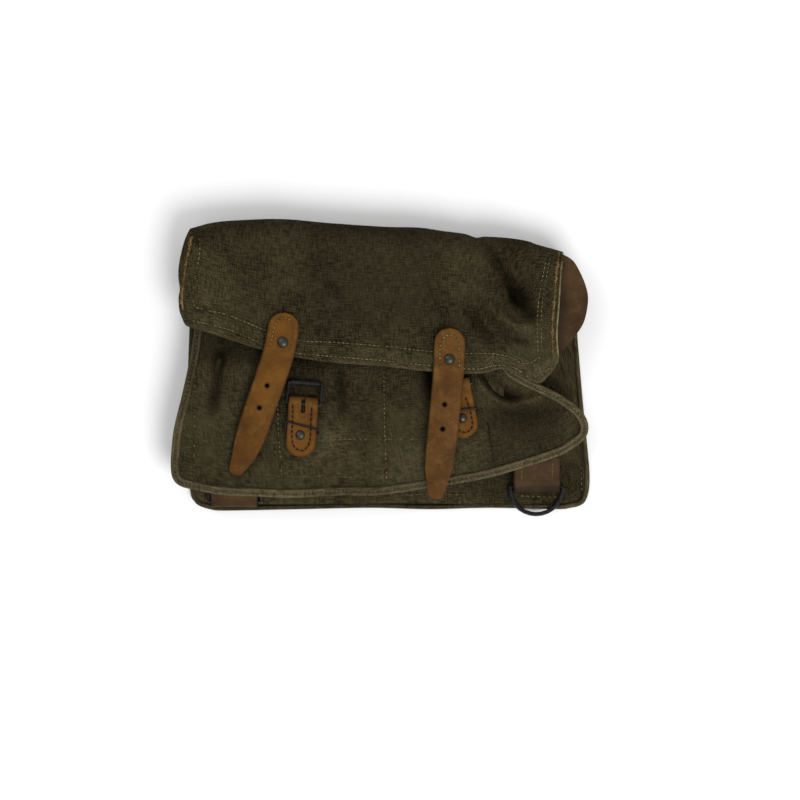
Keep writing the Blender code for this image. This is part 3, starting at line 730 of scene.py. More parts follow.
# %% Front outline
FRONT_LOW = [(-143, -81.5), (-139, -83.5), (-128, -86), (-111, -89), (-89, -90), (-64, -91), (-44, -90),
             (-21, -89), (0, -89), (29, -85), (49, -82), (76, -77), (94, -72), (113.5, -66), (130, -60),
             (139, -54), (145, -49.5), (147.3, -43.5)]
FRONT_LEFT = [(-143, -81.5), (-146.3, -77), (-147.2, -70), (-147, -60), (-145, -43), (-140, -22), (-135, 0),
              (-131, 24), (-129, 41), (-126, 88)]
FRONT_RIGHT = [(147.3, -43.5), (146.6, -37), (141, -28.5), (128, -19), (114, -12), (98, -4), (91, 2),
               (90, 10), (97, 30), (107, 56), (116, 82)]
FRONT_TOP = [(-126, 88), (0, 86), (116, 82)]
FRONT_SEAMS = {
    "far_left": [(-130, 13), (-130.5, -30), (-131, -77)],
    "left": [(-72, -4), (-71.5, -40), (-69, -77)],
    "middle": [(3, -1), (3.5, -40), (5, -78)],
    "right": [(76, -38), (78.5, -52), (81, -66)],
}


# %% Front creases
RIDGE = [(69, -1), (72, -12), (81, -21), (92, -24.5), (105, -22.5), (118, -18.5)]
LEFT_CREASE = [(-111, 17), (-114, -1), (-117, -22), (-118, -38)]
MIDDLE_CREASE = [(-29, 4), (-27, -14), (-26, -36)]
CROSS_SEAMS = [[(-48, -50), (28, -50)], [(-73, -76), (14, -77)]]
FRONT_FOLDS = [
    (LEFT_CREASE, -3.4, 4.2), (MIDDLE_CREASE, -2.0, 3.6), ([(-124, 8), (-127, -14), (-129, -40)], 1.0, 6.0),
    (RIDGE, 3.0, 3.6, 0.12), ([(72, 1), (78, -7), (84, -15), (93, -19), (102, -17)], -4.6, 4.6, 0.15),
    ([(60, -4), (64, -20), (66, -36)], -1.2, 4.0), ([(96, -40), (112, -44), (130, -42)], -0.9, 6.0),
    ([(-100, -56), (-70, -62), (-40, -60)], -0.7, 9.0),
    *((seam, -0.55, 1.5, 0.04) for seam in FRONT_SEAMS.values()),
    *((seam, -0.35, 1.4, 0.05) for seam in CROSS_SEAMS),
]


def front_height(x, y):
    z = 26.9 + 0.75 * slack(x, y, 7) + 3.0 * ramp(y, 4, 30) * (1 - ramp(x, 60, 90))
    return z - 4.5 * bump(x, y, (102, 48), (16, 22)) + folds(x, y, FRONT_FOLDS)


# %% Front cloth
across = np.linspace(0, 1, 226)[None, :]
up = np.linspace(0, 1, 140)[:, None]
front_points = patch(FRONT_LOW, FRONT_TOP, FRONT_LEFT, FRONT_RIGHT, across, up)
front_points = np.dstack([front_points, front_height(front_points[..., 0], front_points[..., 1])])
front = finish_piece("front_cloth", cloth_mesh(front_points, 1.4), CANVAS, "root", ["front_panel"])


# Tone along lines: a painted highlight on the ridge, and painted shade in the hollow beside it, in the
# creases and in the seam grooves.
FRONT_PAINTED_SHADE_AND_HIGHLIGHT = [
    (RIDGE, 0.3, 2.2, 0.1), ([(66, 2), (72, -4), (79, -11), (86, -17), (94, -19), (102, -16)], -0.75, 5.0),
    (LEFT_CREASE, -0.65, 4.5), (MIDDLE_CREASE, -0.5, 4.5), ([(-88, 6), (-92, -20), (-103, -48)], -0.35, 5.0),
    *((seam, -0.22, 1.3, 0.02) for seam in FRONT_SEAMS.values()),
]
# Round patches of tone, as strength, centre and reach: a real worn light patch at (-30, -50), a lighter band
# low in the middle, a darker place at the right below the fold, painted shade round the left buckle and by
# the right tip, and a painted shadow of the right strap at (35, -8).
FRONT_WEAR_AND_SHADOW_PATCHES = [
    (0.42, (-30, -50), (8, 9)), (-0.34, (105, -30), (26, 16)), (0.22, (-20, -66), (40, 14)),
    (-0.45, (-53, -14), (16, 20)), (-0.75, (35, -8), (7, 15)), (-0.4, (142, -43), (7, 8)),
]


def front_tone(x, y, z):
    # Painted shade under and just below the flap's hem.
    tone = 1.02 - 0.6 * ramp(y, -4, 10)
    # Darker towards the lower right.
    tone -= 0.4 * ramp(x, 58, 84) * ramp(-y, 18, 34) * ramp(-x, -136, -124)
    # A little darker over a band in the middle.
    tone -= 0.18 * ramp(x, -45, -15) * ramp(-y, -5, 5) * (1 - ramp(-y, 40, 60)) * (1 - ramp(x, 50, 62))
    tone += sum(strength * bump(x, y, centre, reach) for strength, centre, reach in FRONT_WEAR_AND_SHADOW_PATCHES)
    # Painted shade in creases, hollows and seam grooves, and a painted highlight on the ridge.
    return np.clip(tone + folds(x, y, FRONT_PAINTED_SHADE_AND_HIGHLIGHT), 0.16, 1.35)


set_tone(front, front_tone)
print("front", *size_of(front))

# %% Inner pocket
pocket_low, pocket_high = (np.array(corner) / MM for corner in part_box("inner_pocket"))
px, py = np.meshgrid(*(np.linspace(pocket_low[k], pocket_high[k], count) for k, count in enumerate((60, 42))))
pocket_points = np.dstack([px, py, 23.9 + 0.5 * slack(px, py, 12)])
pocket = finish_piece("inner_pocket_cloth", cloth_mesh(pocket_points, 1.0), CANVAS, "root",
                      ["inner_pocket"])
set_tone(pocket, lambda x, y, z: 0.8)
print("pocket", *size_of(pocket))


# %% Bindings
def sweep(line, profile, closed=False, up=(0, 0, 1)):
    """Points of a profile carried along a line. Profile x is to the line's left and y is up."""
    line = np.array(line, float)
    if closed:
        ahead = np.roll(line, -1, axis=0) - np.roll(line, 1, axis=0)
    else:
        ahead = np.gradient(line, axis=0)
    ahead /= np.linalg.norm(ahead, axis=1)[:, None]
    side = np.cross(up, ahead)
    side /= np.linalg.norm(side, axis=1)[:, None]
    lift = np.cross(ahead, side)
    profile = np.array(profile, float)
    return line[None, :, :] + profile[:, None, :1] * side[None] + profile[:, None, 1:2] * lift[None]


def tube_mesh(points, closed=False):
    """A closed tube, or a ring, from the points of sweep. Its first row is the seam."""
    count, length = points.shape[:2]
    points = np.concatenate([points, points[:1]])
    if closed:
        points = np.concatenate([points, points[:, :1]], axis=1)
    mesh = cloth_mesh(points, 0)
    bmesh.ops.remove_doubles(mesh, verts=mesh.verts[:], dist=1e-6)
    if not closed:
        bmesh.ops.holes_fill(mesh, edges=[e for e in mesh.edges if e.is_boundary], sides=0)
    return mesh


def bead(radius, count):
    return [(radius * math.cos(a), radius * math.sin(a)) for a in 2 * math.pi * np.arange(count) / count]


DOUBLE_BEAD = [(-2.9, -0.6), (-2.7, 0.7), (-2.0, 1.45), (-1.2, 1.4), (-0.5, 0.75), (0, 0.45), (0.5, 0.8),
               (1.2, 1.5), (2.0, 1.55), (2.8, 0.8), (3.0, -0.5), (2.4, -1.5), (0, -1.7), (-2.4, -1.5)]
front_edge = smooth_line(FRONT_LEFT[::-1] + FRONT_LOW[1:] + FRONT_RIGHT[1:], 420)
edge_ahead = np.gradient(front_edge, axis=0)
edge_ahead /= np.linalg.norm(edge_ahead, axis=1)[:, None]
inward = np.column_stack([-edge_ahead[:, 1], edge_ahead[:, 0]])
bead_line = front_edge + 2.6 * inward
bead_line = np.column_stack([bead_line, front_height(*bead_line.T) + 0.5])
for _ in range(4):
    bead_line[1:-1] = (bead_line[:-2] + bead_line[1:-1] + bead_line[2:]) / 3
front_tube = tube_mesh(sweep(bead_line, DOUBLE_BEAD))
front_binding = finish_piece("front_binding_cloth", front_tube, PIPING, "root", ["front_binding"])


def binding_tone(x, y, z):
    # Painted shade in the groove between the two beads.
    middle = fold(x, y, bead_line[::6, :2], -0.5, 0.8, 0.01)
    shade = 0.9 + 0.3 * ramp(-x, -60, 90) - 0.6 * ramp(y, -50, 0) * ramp(-x, 60, 110)
    shade += 0.25 * ramp(x, 60, 110)
    return np.clip(shade + middle, 0.2, 1.5)


set_tone(front_binding, binding_tone)
print("front binding", *size_of(front_binding))

back_edge = smooth_line(BACK_LEFT[-2::-1] + BACK_LOW[1:] + BACK_RIGHT[1:-1], 420)
back_line = np.column_stack([back_edge, np.full(len(back_edge), 2.3)])
back_tube = tube_mesh(sweep(back_line, bead(1.7, 12)))
back_binding = finish_piece("back_binding_cloth", back_tube, PIPING, "root", ["back_binding"])
set_tone(back_binding, lambda x, y, z: 0.62 + 0.25 * ramp(x, 100, 140))
print("back binding", *size_of(back_binding))

# %% [markdown]
# ## Leather straps
# Each strap is one length of harness leather. Its rounded head is stitched and riveted to the flap,
# and its free end hangs over the hem. The strap is a ribbon laid along its centre line, as wide as
# the cut leather at every point, and the two holes are punched through it. It bends down where it
# leaves the flap.

# %% Leather helpers
COLUMNS = 29
PILLOW = 0.35


def ribbon(centre, half_widths, heights, count):
    """Points of a leather strip. The widths and heights are given at fractions of its length."""
    line = smooth_line(centre, count)
    ahead = np.gradient(line, axis=0)
    ahead /= np.linalg.norm(ahead, axis=1)[:, None]
    side = np.column_stack([ahead[:, 1], -ahead[:, 0]])
    t = np.linspace(0, 1, count)
    half = np.interp(t, *np.array(half_widths, float).T)
    top = smooth_line(heights, 200)
    z = np.interp(t, top[:, 0], top[:, 1])
    b = np.linspace(-1, 1, COLUMNS)[None, :]
    plan = line[:, None, :] + side[:, None, :] * (half[:, None] * b)[..., None]
    return np.dstack([plan, z[:, None] - PILLOW * b ** 4])


def end_round(radius, length):
    """Half widths, as parts of the full one, round an end. Its fractions run over the strip."""
    angles = [0.5 * math.pi * k / 6 for k in range(7)]
    return [(radius * (1 - math.cos(a)) / length, math.sin(a)) for a in angles]


def drop(tree, x, y, start=80.0):
    """Height of the first surface below a point in millimetres, or None."""
    hit = tree.ray_cast(Vector((x, y, start)) * MM, Vector((0, 0, -1)))[0]
    return hit.z / MM if hit else None


def tree_for(*objects):
    verts, faces = [], []
    for obj in objects:
        base = len(verts)
        verts += [v.co.copy() for v in obj.data.vertices]
        faces += [[base + i for i in p.vertices] for p in obj.data.polygons]
    return BVHTree.FromPolygons(verts, faces)


def punch(obj, holes, low, high):
    """Cut round holes, given as x, y and radius in millimetres, from height low to high."""
    mesh = bmesh.new()
    for x, y, radius in holes:
        place = Matrix.Translation((x * MM, y * MM, (low + high) / 2 * MM))
        bmesh.ops.create_cone(mesh, cap_ends=True, segments=18, radius1=radius * MM, radius2=radius * MM,
                              depth=(high - low) * MM, matrix=place)
    data = bpy.data.meshes.new("cutter")
    mesh.to_mesh(data)
    mesh.free()
    cut_out(obj, data)


def cut_out(obj, data):
    cutter = bpy.data.objects.new("cutter", data)
    bpy.context.scene.collection.objects.link(cutter)
    step = obj.modifiers.new("cut", "BOOLEAN")
    step.object = cutter
    step.operation = "DIFFERENCE"
    step.solver = "EXACT"
    graph = bpy.context.evaluated_depsgraph_get()
    cut = bpy.data.meshes.new_from_object(obj.evaluated_get(graph), preserve_all_data_layers=True,
                                          depsgraph=graph)
    obj.modifiers.clear()
    obj.data = cut
    bpy.data.objects.remove(cutter)


# %% Straps
STRAPS = {
    "left": {
        "centre": [(-65.9, 39.0), (-67.6, 25), (-70.5, 10.5), (-76.8, -8), (-84.0, -28), (-94.3, -57.5),
                   (-102.6, -74.4)],
        "widths": [(0.72, 1.0), (0.86, 0.80), (0.965, 0.50), (0.985, 0.42), (1.0, 0.26)],
        "heights": [(0, 38.7), (0.1, 38.9), (0.23, 38.9), (0.34, 37.2), (0.5, 33.4), (0.7, 31.2),
                    (0.88, 31.4), (1, 30.8)],
        "holes": [(-78.9, -12.1, 1.5), (-84.5, -27.7, 1.45)],
        "fold": (-72, 11), "ahead": (-0.3152, -0.9490),
    },
    "right": {
        "centre": [(49.6, 28.2), (49.0, 14), (48.4, -2), (46.9, -20), (44.8, -42), (42.0, -67),
                   (39.2, -91.6)],
        "widths": [(0.70, 0.98), (0.83, 0.88), (0.965, 0.54), (0.985, 0.48), (1.0, 0.3)],
        "heights": [(0, 38.7), (0.1, 38.9), (0.25, 38.9), (0.36, 37.9), (0.52, 36.9), (0.66, 34.6),
                    (0.82, 32.4), (1, 32.2)],
        "holes": [(45.6, -25.4, 1.55), (44.3, -42.6, 1.5)],
        "fold": (48.8, -2.2), "ahead": (-0.1043, -0.9945),
    },
}
STRAP_ROWS = {
    "left": [(-76.6, 15.6), (-74.9, 22), (-73.6, 27.9), (-71.2, 33.2), (-68.0, 35.1), (-63.9, 34.8),
             (-61.1, 32), (-60.4, 27.9), (-61.2, 20.1), (-63.2, 13.5)],
    "right": [(42.4, -0.2), (42.4, 13.2), (43.6, 19), (46.9, 22.9), (52.0, 22.8), (55.2, 18.1), (55.8, 13.2),
              (56.0, 0.6)],
}
STRAP_HALF = 10.9
straps = {}
for side, plan in STRAPS.items():
    widths = [(t, STRAP_HALF * w) for t, w in end_round(11, 118) + plan["widths"]]
    points = ribbon(plan["centre"], widths, plan["heights"], 150)
    look = CREASED if side == "right" else TAN
    strap = finish_piece(f"strap_{side}_leather", cloth_mesh(points, 2.3), look, None,
                         [f"strap_root_{side}", f"strap_{side}"])
    punch(strap, plan["holes"], 20, 50)
    straps[side] = strap


def strap_tone(x, y, z, side):
    plan = STRAPS[side]
    line = smooth_line(plan["centre"], 60)
    gap = np.min(np.hypot(x[:, None] - line[:, 0], y[:, None] - line[:, 1]), axis=1)
    tone = 1.05 - 0.45 * ramp(gap, 9.2, 10.9) - 0.18 * ramp(-y, 20, 42)
    for hx, hy, radius in plan["holes"]:
        tone -= 0.6 * (1 - ramp(np.hypot(x - hx, y - hy), radius, radius + 1.6))
    tone += fold(x, y, STRAP_ROWS[side], -0.4, 0.8, 0.01)
    fx, fy = plan["fold"]
    along_it = (x - fx) * plan["ahead"][0] + (y - fy) * plan["ahead"][1]
    if side == "right":
        tone -= 0.18 * np.exp(-((along_it - 10) / 9) ** 2)
        tone -= 0.12 * ramp(along_it, 60, 88)
    else:
        tone -= 0.14 * ramp(along_it, 45, 80)
    return np.clip(tone, 0.2, 1.2)


for side, strap in straps.items():
    plan = STRAPS[side]
    set_tone(strap, lambda x, y, z: strap_tone(x, y, z, side))
    fold_at = Vector((*plan["fold"], 38)) * MM
    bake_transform(strap)
    print("strap", side, *size_of(strap))

# %% [markdown]
# ## Buckle tabs, ring tabs and ears
# A buckle tab is a strip folded round the buckle's bar, with a slot for the prong, and both leaves
# are sewn and riveted through the front. A ring tab is the same idea round a ring. The ears are half
# discs of brown leather on the ends of the flap. The right ear lies flat and the left one hangs down.

# %% Buckle tabs
CHAPES = {
    "left": {"fold": (-53.4, -22.6), "aim": (-0.066, -0.998), "reach": 39.8},
    "right": {"fold": (53.2, -10.2), "aim": (0.188, -0.982), "reach": 39.4},
}

CHAPE_ROWS = {
    "left": [(-61, -25.2), (-61, -33.8), (-61.6, -49), (-59.8, -55.4), (-55.6, -58), (-51, -55.7),
             (-48.8, -49.4), (-48.2, -36.9), (-47.6, -27.2)],
    "right": [(60.4, -19.9), (63.0, -27.3), (65.0, -35.6), (65.0, -41.6), (61.0, -45.0), (55.6, -43.4),
              (52, -36), (50, -27), (47.6, -16)],
}


def hairpin_path(reach, low, high, radius, middle, tuck=0.0):
    """Distance and height along the outer face of a strip folded round a bar."""
    path = [(reach * (1 - k / 24) + 2.5 * k / 24, low) for k in range(25)]
    for k in range(1, 12):
        a = math.pi * k / 12
        path.append((-radius * math.sin(a) + 2.5 * (1 - math.sin(a)) ** 3, middle - radius * math.cos(a)))
    for k in range(1, 51):
        far = 1.2 + (reach - 1.2) * k / 50
        rise = (middle + radius - high) * math.exp(-(far / 4.5) ** 2)
        path.append((far, high + rise - tuck * (far / reach) ** 2))
    return np.array(path)


def folded_strip(fold_at, aim, path, half, reach, round_end):
    """Points of a strip of leather that follows path along aim."""
    b = np.linspace(-1, 1, COLUMNS)[None, :]
    far, z = path[:, :1], path[:, 1:]
    left = np.clip(reach - far, 0, round_end)
    width = half * np.sqrt(np.clip(1 - ((round_end - left) / round_end) ** 2.2, 0.003, 1))
    x = fold_at[0] + far * aim[0] - width * b * aim[1]
    y = fold_at[1] + far * aim[1] + width * b * aim[0]
    return np.dstack([x, y, z + 0 * b])


SLOT = (0.0112, 0.0029, 0.0052)
chapes = {}
for side, plan in CHAPES.items():
    path = hairpin_path(plan["reach"], 27.25, 31.9, 2.6, 29.95, 0.5)
    points = folded_strip(plan["fold"], plan["aim"], path, 10.4, plan["reach"], 10.5)
    chape = finish_piece(f"chape_{side}_leather", cloth_mesh(points[:, ::-1], 1.35), TAN,
                         "root", [f"chape_{side}"])
    mesh = bmesh.new()
    turn = Matrix.Rotation(math.atan2(plan["aim"][1], plan["aim"][0]), 4, "Z")
    there = Matrix.Translation(Vector((*plan["fold"], 32)) * MM)
    bmesh.ops.create_cube(mesh, size=1, matrix=there @ turn @ Matrix.Translation((1.6 * MM, 0, 0))
                          @ Matrix.Diagonal((*SLOT, 1)))
    slot_data = bpy.data.meshes.new("slot")
    mesh.to_mesh(slot_data)
    mesh.free()
    cut_out(chape, slot_data)
    end = Vector(plan["fold"]) + 7.2 * Vector(plan["aim"])
    punch(chape, [(end.x, end.y, 1.6)], 29.9, 35)

    def chape_tone(x, y, z):
        fx, fy = plan["fold"]
        ax, ay = plan["aim"]
        far = (x - fx) * ax + (y - fy) * ay
        off = np.abs((x - fx) * ay - (y - fy) * ax)
        edge = np.maximum(off, np.hypot(off, np.clip(far - 29, 0, None)))
        # Dark burnished edges, and painted shade where the tab folds round the bar under the buckle.
        tone = 1.05 - 0.45 * ramp(edge, 8.8, 10.6) - 0.35 * ramp(-far, -4, 3)
        return np.clip(tone + fold(x, y, CHAPE_ROWS[side], -0.45, 0.9, 0.01), 0.25, 1.1)

    set_tone(chape, chape_tone)
    chapes[side] = chape
    print("buckle tab", side, *size_of(chape))

# %% Ring tabs
TABS = {"left": (-104, -94.51, 8.416, 9.54), "right": (112, -84.206, 9.405, 6.48)}
tabs = {}
for side, (x, y, z, slope) in TABS.items():
    tilt = math.tan(math.radians(slope))
    path = hairpin_path(21, z - 2.9, z + 2.2, 2.75, z, 0)
    path[:, 1] += 0.04 * path[:, 0] + (0 if side == "left" else 0.25) * np.sin(path[:, 0] / 2.2)
    path[:, 1] += tilt * np.clip(path[:, 0], 0, None)
    points = folded_strip((x, y), (0, 1), path, 16.6, 21 + 60, 1.0)
    tab = finish_piece(f"ring_tab_{side}_leather", cloth_mesh(points, 1.5), BROWN, "root",
                       [f"ring_tab_{side}"])
    plain = 1.3 if side == "left" else 0.95
    set_tone(tab, lambda px, py, pz: plain - 0.4 * ramp(np.abs(px - x), 14.5, 16.6)
             - 0.5 * ramp(y + 3 - py, 0, 4))
    tabs[side] = tab
    print("ring tab", side, *size_of(tab))

# %% Ears
EAR_OUT = [(126, 9), (131, 14.5), (137, 22), (144, 33), (146.9, 47.8), (145, 58.7), (139, 71.5), (134.5, 77),
           (129, 80)]
ear_u = np.linspace(0, 1, 22)[None, :]
ear_v = np.linspace(0, 1, 60)[:, None]
EAR_IN = [(124, 9), (123.6, 24), (124.8, 43.6), (126.4, 68), (127.6, 80)]
ear_points = patch([(124, 9), (126, 9)], [(127.6, 80), (129, 80)], EAR_IN, EAR_OUT, ear_u, ear_v)
ear_x, ear_y = ear_points[..., 0], ear_points[..., 1]
ear_z = 33.0 - 3.4 * (np.clip(ear_x - 125, 0, None) / 22) ** 2
ear_z += 0.5 * np.sin(ear_y / 9) * ramp(ear_x, 126, 140)
ear_right = finish_piece("ear_right_leather", cloth_mesh(np.dstack([ear_points, ear_z]), 1.6), BROWN,
                         "ear_right", ["flap_ear_right"])
set_tone(ear_right, lambda x, y, z: 0.88 - 0.42 * ramp(-x, -134, -127) - 0.2 * ramp(x, 142, 147)
         + fold(x, y, [(134, 30), (138, 45), (136, 62)], 0.3, 3.5))

hang = np.linspace(0, 1, 18)[:, None]
reach_out = np.linspace(-1, 1, 60)[None, :]
ear_depth = 15.5 * np.sqrt(np.clip(1 - np.abs(reach_out) ** 2.3, 0, 1)) + 0.4
flap_end = smooth_line(FLAP_LEFT, 120)
ear_along = 65 + 31 * reach_out
ear_top = np.interp(ear_along, flap_end[:, 1], flap_end[:, 0])
ear_left_points = np.dstack([ear_top + 1.2 + 2.4 * hang ** 2, ear_along + 0 * hang, 31.4 - ear_depth * hang])
ear_left = finish_piece("ear_left_leather", cloth_mesh(ear_left_points, 1.4), BROWN,
                        "ear_left", ["flap_ear_left"])
set_tone(ear_left, lambda x, y, z: 0.9)
print("ears", *size_of(ear_right), *size_of(ear_left))

# %% [markdown]
# ## Rivets and wire
# The rivets are domed brass caps gone dull, set into the leather. The buckles, rollers, prongs and
# rings keep the frame's own wires and take the blackened steel finish. The two keepers are swept
# anew, as closed loops of wire that run over the buckle tabs.

# %% Rivets
def rivet(name, x, y, top, radius, rise, body, node_name):
    """A domed cap with a turned-in rim, made by spinning its half section."""
    section = [(0.0, rise), (0.35, rise * 0.93), (0.66, rise * 0.68), (0.88, rise * 0.32), (1.0, 0.02),
               (0.99, -0.35), (0.9, -0.6)]
    mesh = bmesh.new()
    mesh.loops.layers.uv.new("flat")
    verts = [mesh.verts.new(((x + r * radius) * MM, y * MM, (top + z) * MM)) for r, z in section]
    edges = [mesh.edges.new(pair) for pair in zip(verts, verts[1:])]
    bmesh.ops.spin(mesh, geom=verts + edges, cent=(x * MM, y * MM, 0), axis=(0, 0, 1), angle=2 * math.pi,
                   steps=28, use_merge=True)
    bmesh.ops.remove_doubles(mesh, verts=mesh.verts[:], dist=1e-6)
    bmesh.ops.holes_fill(mesh, edges=[e for e in mesh.edges if e.is_boundary], sides=0)
    finish_piece(name, mesh, BRASS, body, [node_name])


for name, body, replaced, x, y, top, radius, rise in (
        ("rivet_flap_left", "flap", "strap_rivet_left", -67.7, 18.2, 38.9, 4.1, 2.0),
        ("rivet_flap_right", "flap", "strap_rivet_right", 48.9, 6.2, 38.9, 4.0, 2.0),
        ("rivet_tab_left", "root", "chape_rivet_left", -55.8, -46.8, 31.5, 3.6, 2.0),
        ("rivet_tab_right", "root", "chape_rivet_right", 58.2, -34.8, 31.5, 3.6, 1.9)):
    rivet(name, x, y, top, radius, rise, body, replaced)

for name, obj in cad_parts.items():
    obj.data.materials.clear()
    obj.data.materials.append(BRASS if "burr" in name or "rivet" in name else STEEL)


# %% Keepers
KEEPERS = {"left": (15.2, 19.8), "right": (18.2, 20.4)}
for side, (near, far) in KEEPERS.items():
    fold_at, aim = np.array(CHAPES[side]["fold"]), np.array(CHAPES[side]["aim"])
    across_it = np.array((-aim[1], aim[0]))
    corners = [(-11.5, 22.3, 29.5), (-11.8, near, 32.9), (11.8, far, 33.1), (11.5, 22.3, 29.5),
               (-11.5, 22.3, 29.5)]
    loop = [(*(fold_at + a * across_it + b * aim), z) for a, b, z in corners]
    loop = sewn_line(loop, (8, 30, 8, 30), 0)[:-1]
    for _ in range(2):
        loop = (np.roll(loop, 1, axis=0) + loop + np.roll(loop, -1, axis=0)) / 3
    wire = tube_mesh(sweep(loop, bead(0.7, 10), True, (*aim, 0)), True)
    finish_piece(f"keeper_{side}_wire", wire, STEEL, f"wire_keeper_{side}", [f"keeper_{side}"])
print("rivets, keepers and wires have their finish")

# %% [markdown]
# ## Sewing
# The seams show as rows of single stitches: pale linen thread round the flap and the bindings,
# ochre thread on the left strap and dark waxed thread on the buckle tabs. Each stitch is a small
# long grain laid on the surface under it. Here and there one is missing, as on the real seams.

# %% Stitches
rng = random.Random(31)


def lay_stitch(mesh, a, b, radius):
    run = b - a
    turn = run.to_track_quat("X", "Z").to_matrix().to_4x4()
    shape = Matrix.Diagonal((run.length / 2 * MM, radius * MM, radius * MM, 1))
    bmesh.ops.create_icosphere(mesh, subdivisions=1, radius=1,
                               matrix=Matrix.Translation((a + b) / 2 * MM) @ turn @ shape)


def stitch_row(mesh, tree, line, spacing, length, radius, lift=0.1, skip=0.04, start=80.0):
    """Stitches along a line of x and y, dropped on a surface. Returns how many were laid."""
    dense = smooth_line(line, 400)
    total = np.sum(np.linalg.norm(np.diff(dense, axis=0), axis=1))
    count = max(2, int(total / spacing))
    laid = 0
    for k in range(count):
        if rng.random() < skip:
            continue
        t = (k + 0.5) / count
        half = 0.5 * length * rng.uniform(0.85, 1.1) / total
        a, b = along(dense, np.array([max(t - half, 0), min(t + half, 1)]))
        wander = rng.uniform(-0.18, 0.18)
        ends = [(a[0] + wander, a[1]), (b[0] - wander, b[1] + wander)]
        heights = [drop(tree, x, y, start) for x, y in ends]
        if None in heights or abs(heights[0] - heights[1]) > 1.5:
            continue
        first, last = (Vector((x, y, z + lift)) for (x, y), z in zip(ends, heights))
        lay_stitch(mesh, first, last, radius * rng.uniform(0.85, 1.15))
        laid += 1
    return laid


def sew(name, look, body, rows):
    """Sew rows of stitches into one piece. A row is what stitch_row takes after the mesh."""
    mesh = bmesh.new()
    laid = sum(stitch_row(mesh, *row) for row in rows)
    print(name, laid, "stitches")
    return finish_piece(name, mesh, look, body)


# %% Flap and front sewing
flap_tree = tree_for(flap)
flap_stitches = sew("flap_stitches", PALE_THREAD, None, [
    (flap_tree, INNER_ROW[3:], 3.1, 2.9, 0.34),
    (flap_tree, INNER_ROW[:4], 3.4, 2.6, 0.36, 0.1, 0.1),
    (flap_tree, OUTER_ROW[1:], 3.1, 2.9, 0.36),
    *((flap_tree, [(x + shift, y) for x, y in LADDER], 3.0, 2.3, 0.33) for shift in (-1.2, 1.4)),
])
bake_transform(flap_stitches)

front_tree = tree_for(front)
bead_rows = smooth_line(bead_line[:, :2], 60)
sew("front_stitches", PALE_THREAD, "root", [
    (front_tree, FRONT_SEAMS["middle"], 3.2, 2.3, 0.3, 0.1, 0.1),
    (front_tree, FRONT_SEAMS["left"], 3.2, 2.2, 0.3, 0.1, 0.2),
    (front_tree, FRONT_SEAMS["far_left"], 3.4, 2.2, 0.28, 0.1, 0.25),
    (front_tree, CROSS_SEAMS[0], 3.6, 2.2, 0.22, 0.1, 0.3),
    (front_tree, CROSS_SEAMS[1], 3.6, 2.2, 0.24, 0.1, 0.25),
    (tree_for(front_binding), bead_rows, 3.0, 2.2, 0.28, 0.15),
])
KNOTS = ((-69, -67), (-70.5, -69.5), (5, -71), (4, -73))
sew("front_dark_stitches", DARK_THREAD, "root", [
    (front_tree, FRONT_SEAMS["right"], 3.0, 2.6, 0.42, 0.2, 0.1),
    *((front_tree, [(x - 1, y - 1), (x + 1, y + 1.2)], 1.2, 2.6, 0.7, 0.2, 0) for x, y in KNOTS),
])

# %% Leather and gusset sewing
for side, row in STRAP_ROWS.items():
    sew(f"strap_{side}_stitches", PALE_THREAD if side == "right" else OCHRE_THREAD, "flap",
        [(tree_for(straps[side]), row, 2.9, 2.1, 0.5, 0.06, 0.0)])
for side, row in CHAPE_ROWS.items():
    sew(f"chape_{side}_stitches", DARK_THREAD, "root",
        [(tree_for(chapes[side]), row, 3.4, 2.9, 0.62, 0.05, 0.0, 33.4)])
gusset_tree = tree_for(gusset)
GUSSET_ROWS = ([(124, -14), (124.5, -56)], [(143, -20), (145, -88)], [(-50, -91), (36, -90)],
               [(128, -92), (100, -91)])
zigzags = [[(x + (0.7 if k % 2 else -0.7), -66 - 1.5 * k) for k in range(9)] for x in (101, 123)]
sew("tab_stitches", PALE_THREAD, "root", [
    *((tree_for(tabs["right"]), zigzag, 1.8, 1.7, 0.36, 0.05, 0.0) for zigzag in zigzags),
    (gusset_tree, [(48, -90), (72, -90)], 4.2, 1.6, 0.4, 0.1, 0.2, 12),
    *((gusset_tree, row, 3.6, 2.4, 0.32, 0.1, 0.25, 12) for row in GUSSET_ROWS),
])

# %% [markdown]
# ## Frayed ends
# The raw ends of the flap are turned under and sewn with a coarse ochre tape that has frayed to a
# rope of fibres. Each is a lumpy strip along the end with loose fibres standing off it.

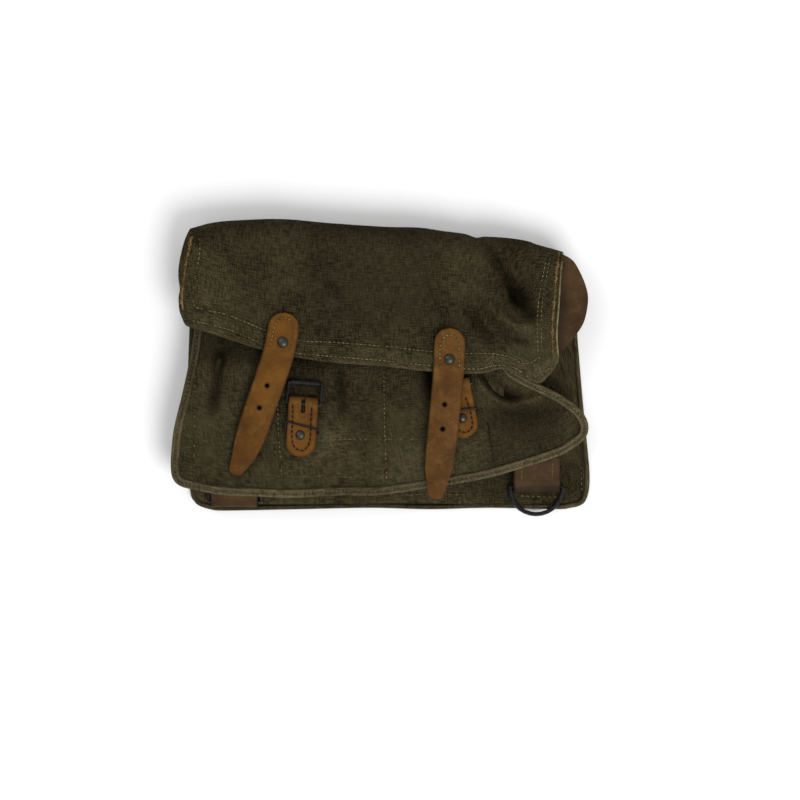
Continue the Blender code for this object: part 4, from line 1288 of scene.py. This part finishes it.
# %% Frayed tapes
def frayed(name, line, half, node_name, fibres, seed):
    """A lumpy tape laid along a line on the flap, with loose fibres standing off it."""
    rng = random.Random(seed)
    dense = smooth_line(line, 160)
    heights = [drop(flap_tree, x, y) or 33.0 for x, y in dense]
    for _ in range(3):
        heights[1:-1] = [(a + b + c) / 3 for a, b, c in zip(heights, heights[1:], heights[2:])]
    path = np.column_stack([dense, np.array(heights) + 0.25])
    turns = np.linspace(0, 2 * math.pi, 12, False)
    points = sweep(path, [(half * math.cos(a), 0.65 * math.sin(a)) for a in turns])
    for k in range(points.shape[1]):
        swell = rng.uniform(0.35, 1.3)
        points[:, k] = path[k] + (points[:, k] - path[k]) * swell + np.array([rng.uniform(-0.6, 0.6), 0, 0])
    mesh = tube_mesh(points)
    for _ in range(fibres):
        x, y, z = path[rng.randrange(len(path))]
        a = Vector((x + rng.uniform(-half, half), y, z + 0.2))
        b = a + Vector((rng.uniform(-1.9, 1.9), rng.uniform(-2.2, 2.2), rng.uniform(-0.2, 0.7)))
        lay_stitch(mesh, a, b, 0.13)
    tape = finish_piece(name, mesh, OCHRE_THREAD, None, [node_name])
    set_tone(tape, lambda x, y, z: 1.0)
    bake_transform(tape)


frayed("frayed_tape_left", [(-132, 92.5), (-133.4, 85), (-136, 73.4), (-137.6, 59.6), (-138.6, 51),
                            (-138.4, 42)], 0.95, "flap_end_tape_left", 170, 5)
frayed("frayed_tape_right", [(126.4, 81.5), (124.4, 68), (122.6, 48.5), (121.2, 24), (122.2, 7.6)], 0.65,
       "flap_end_tape_right", 260, 6)
cord_line = smooth_line([(129.3, 81.5), (127.4, 68), (125.8, 43.6), (124.5, 24), (125.4, 7.2)], 90)
cord_high = [(drop(flap_tree, x - 0.5, y) or 33.5) + 0.1 for x, y in cord_line]
cord_tube = tube_mesh(sweep(np.column_stack([cord_line, cord_high]), bead(0.62, 8)))
edge_cord = finish_piece("edge_cord_right", cord_tube, PALE_THREAD)
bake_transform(edge_cord)
print("frayed tapes are on")
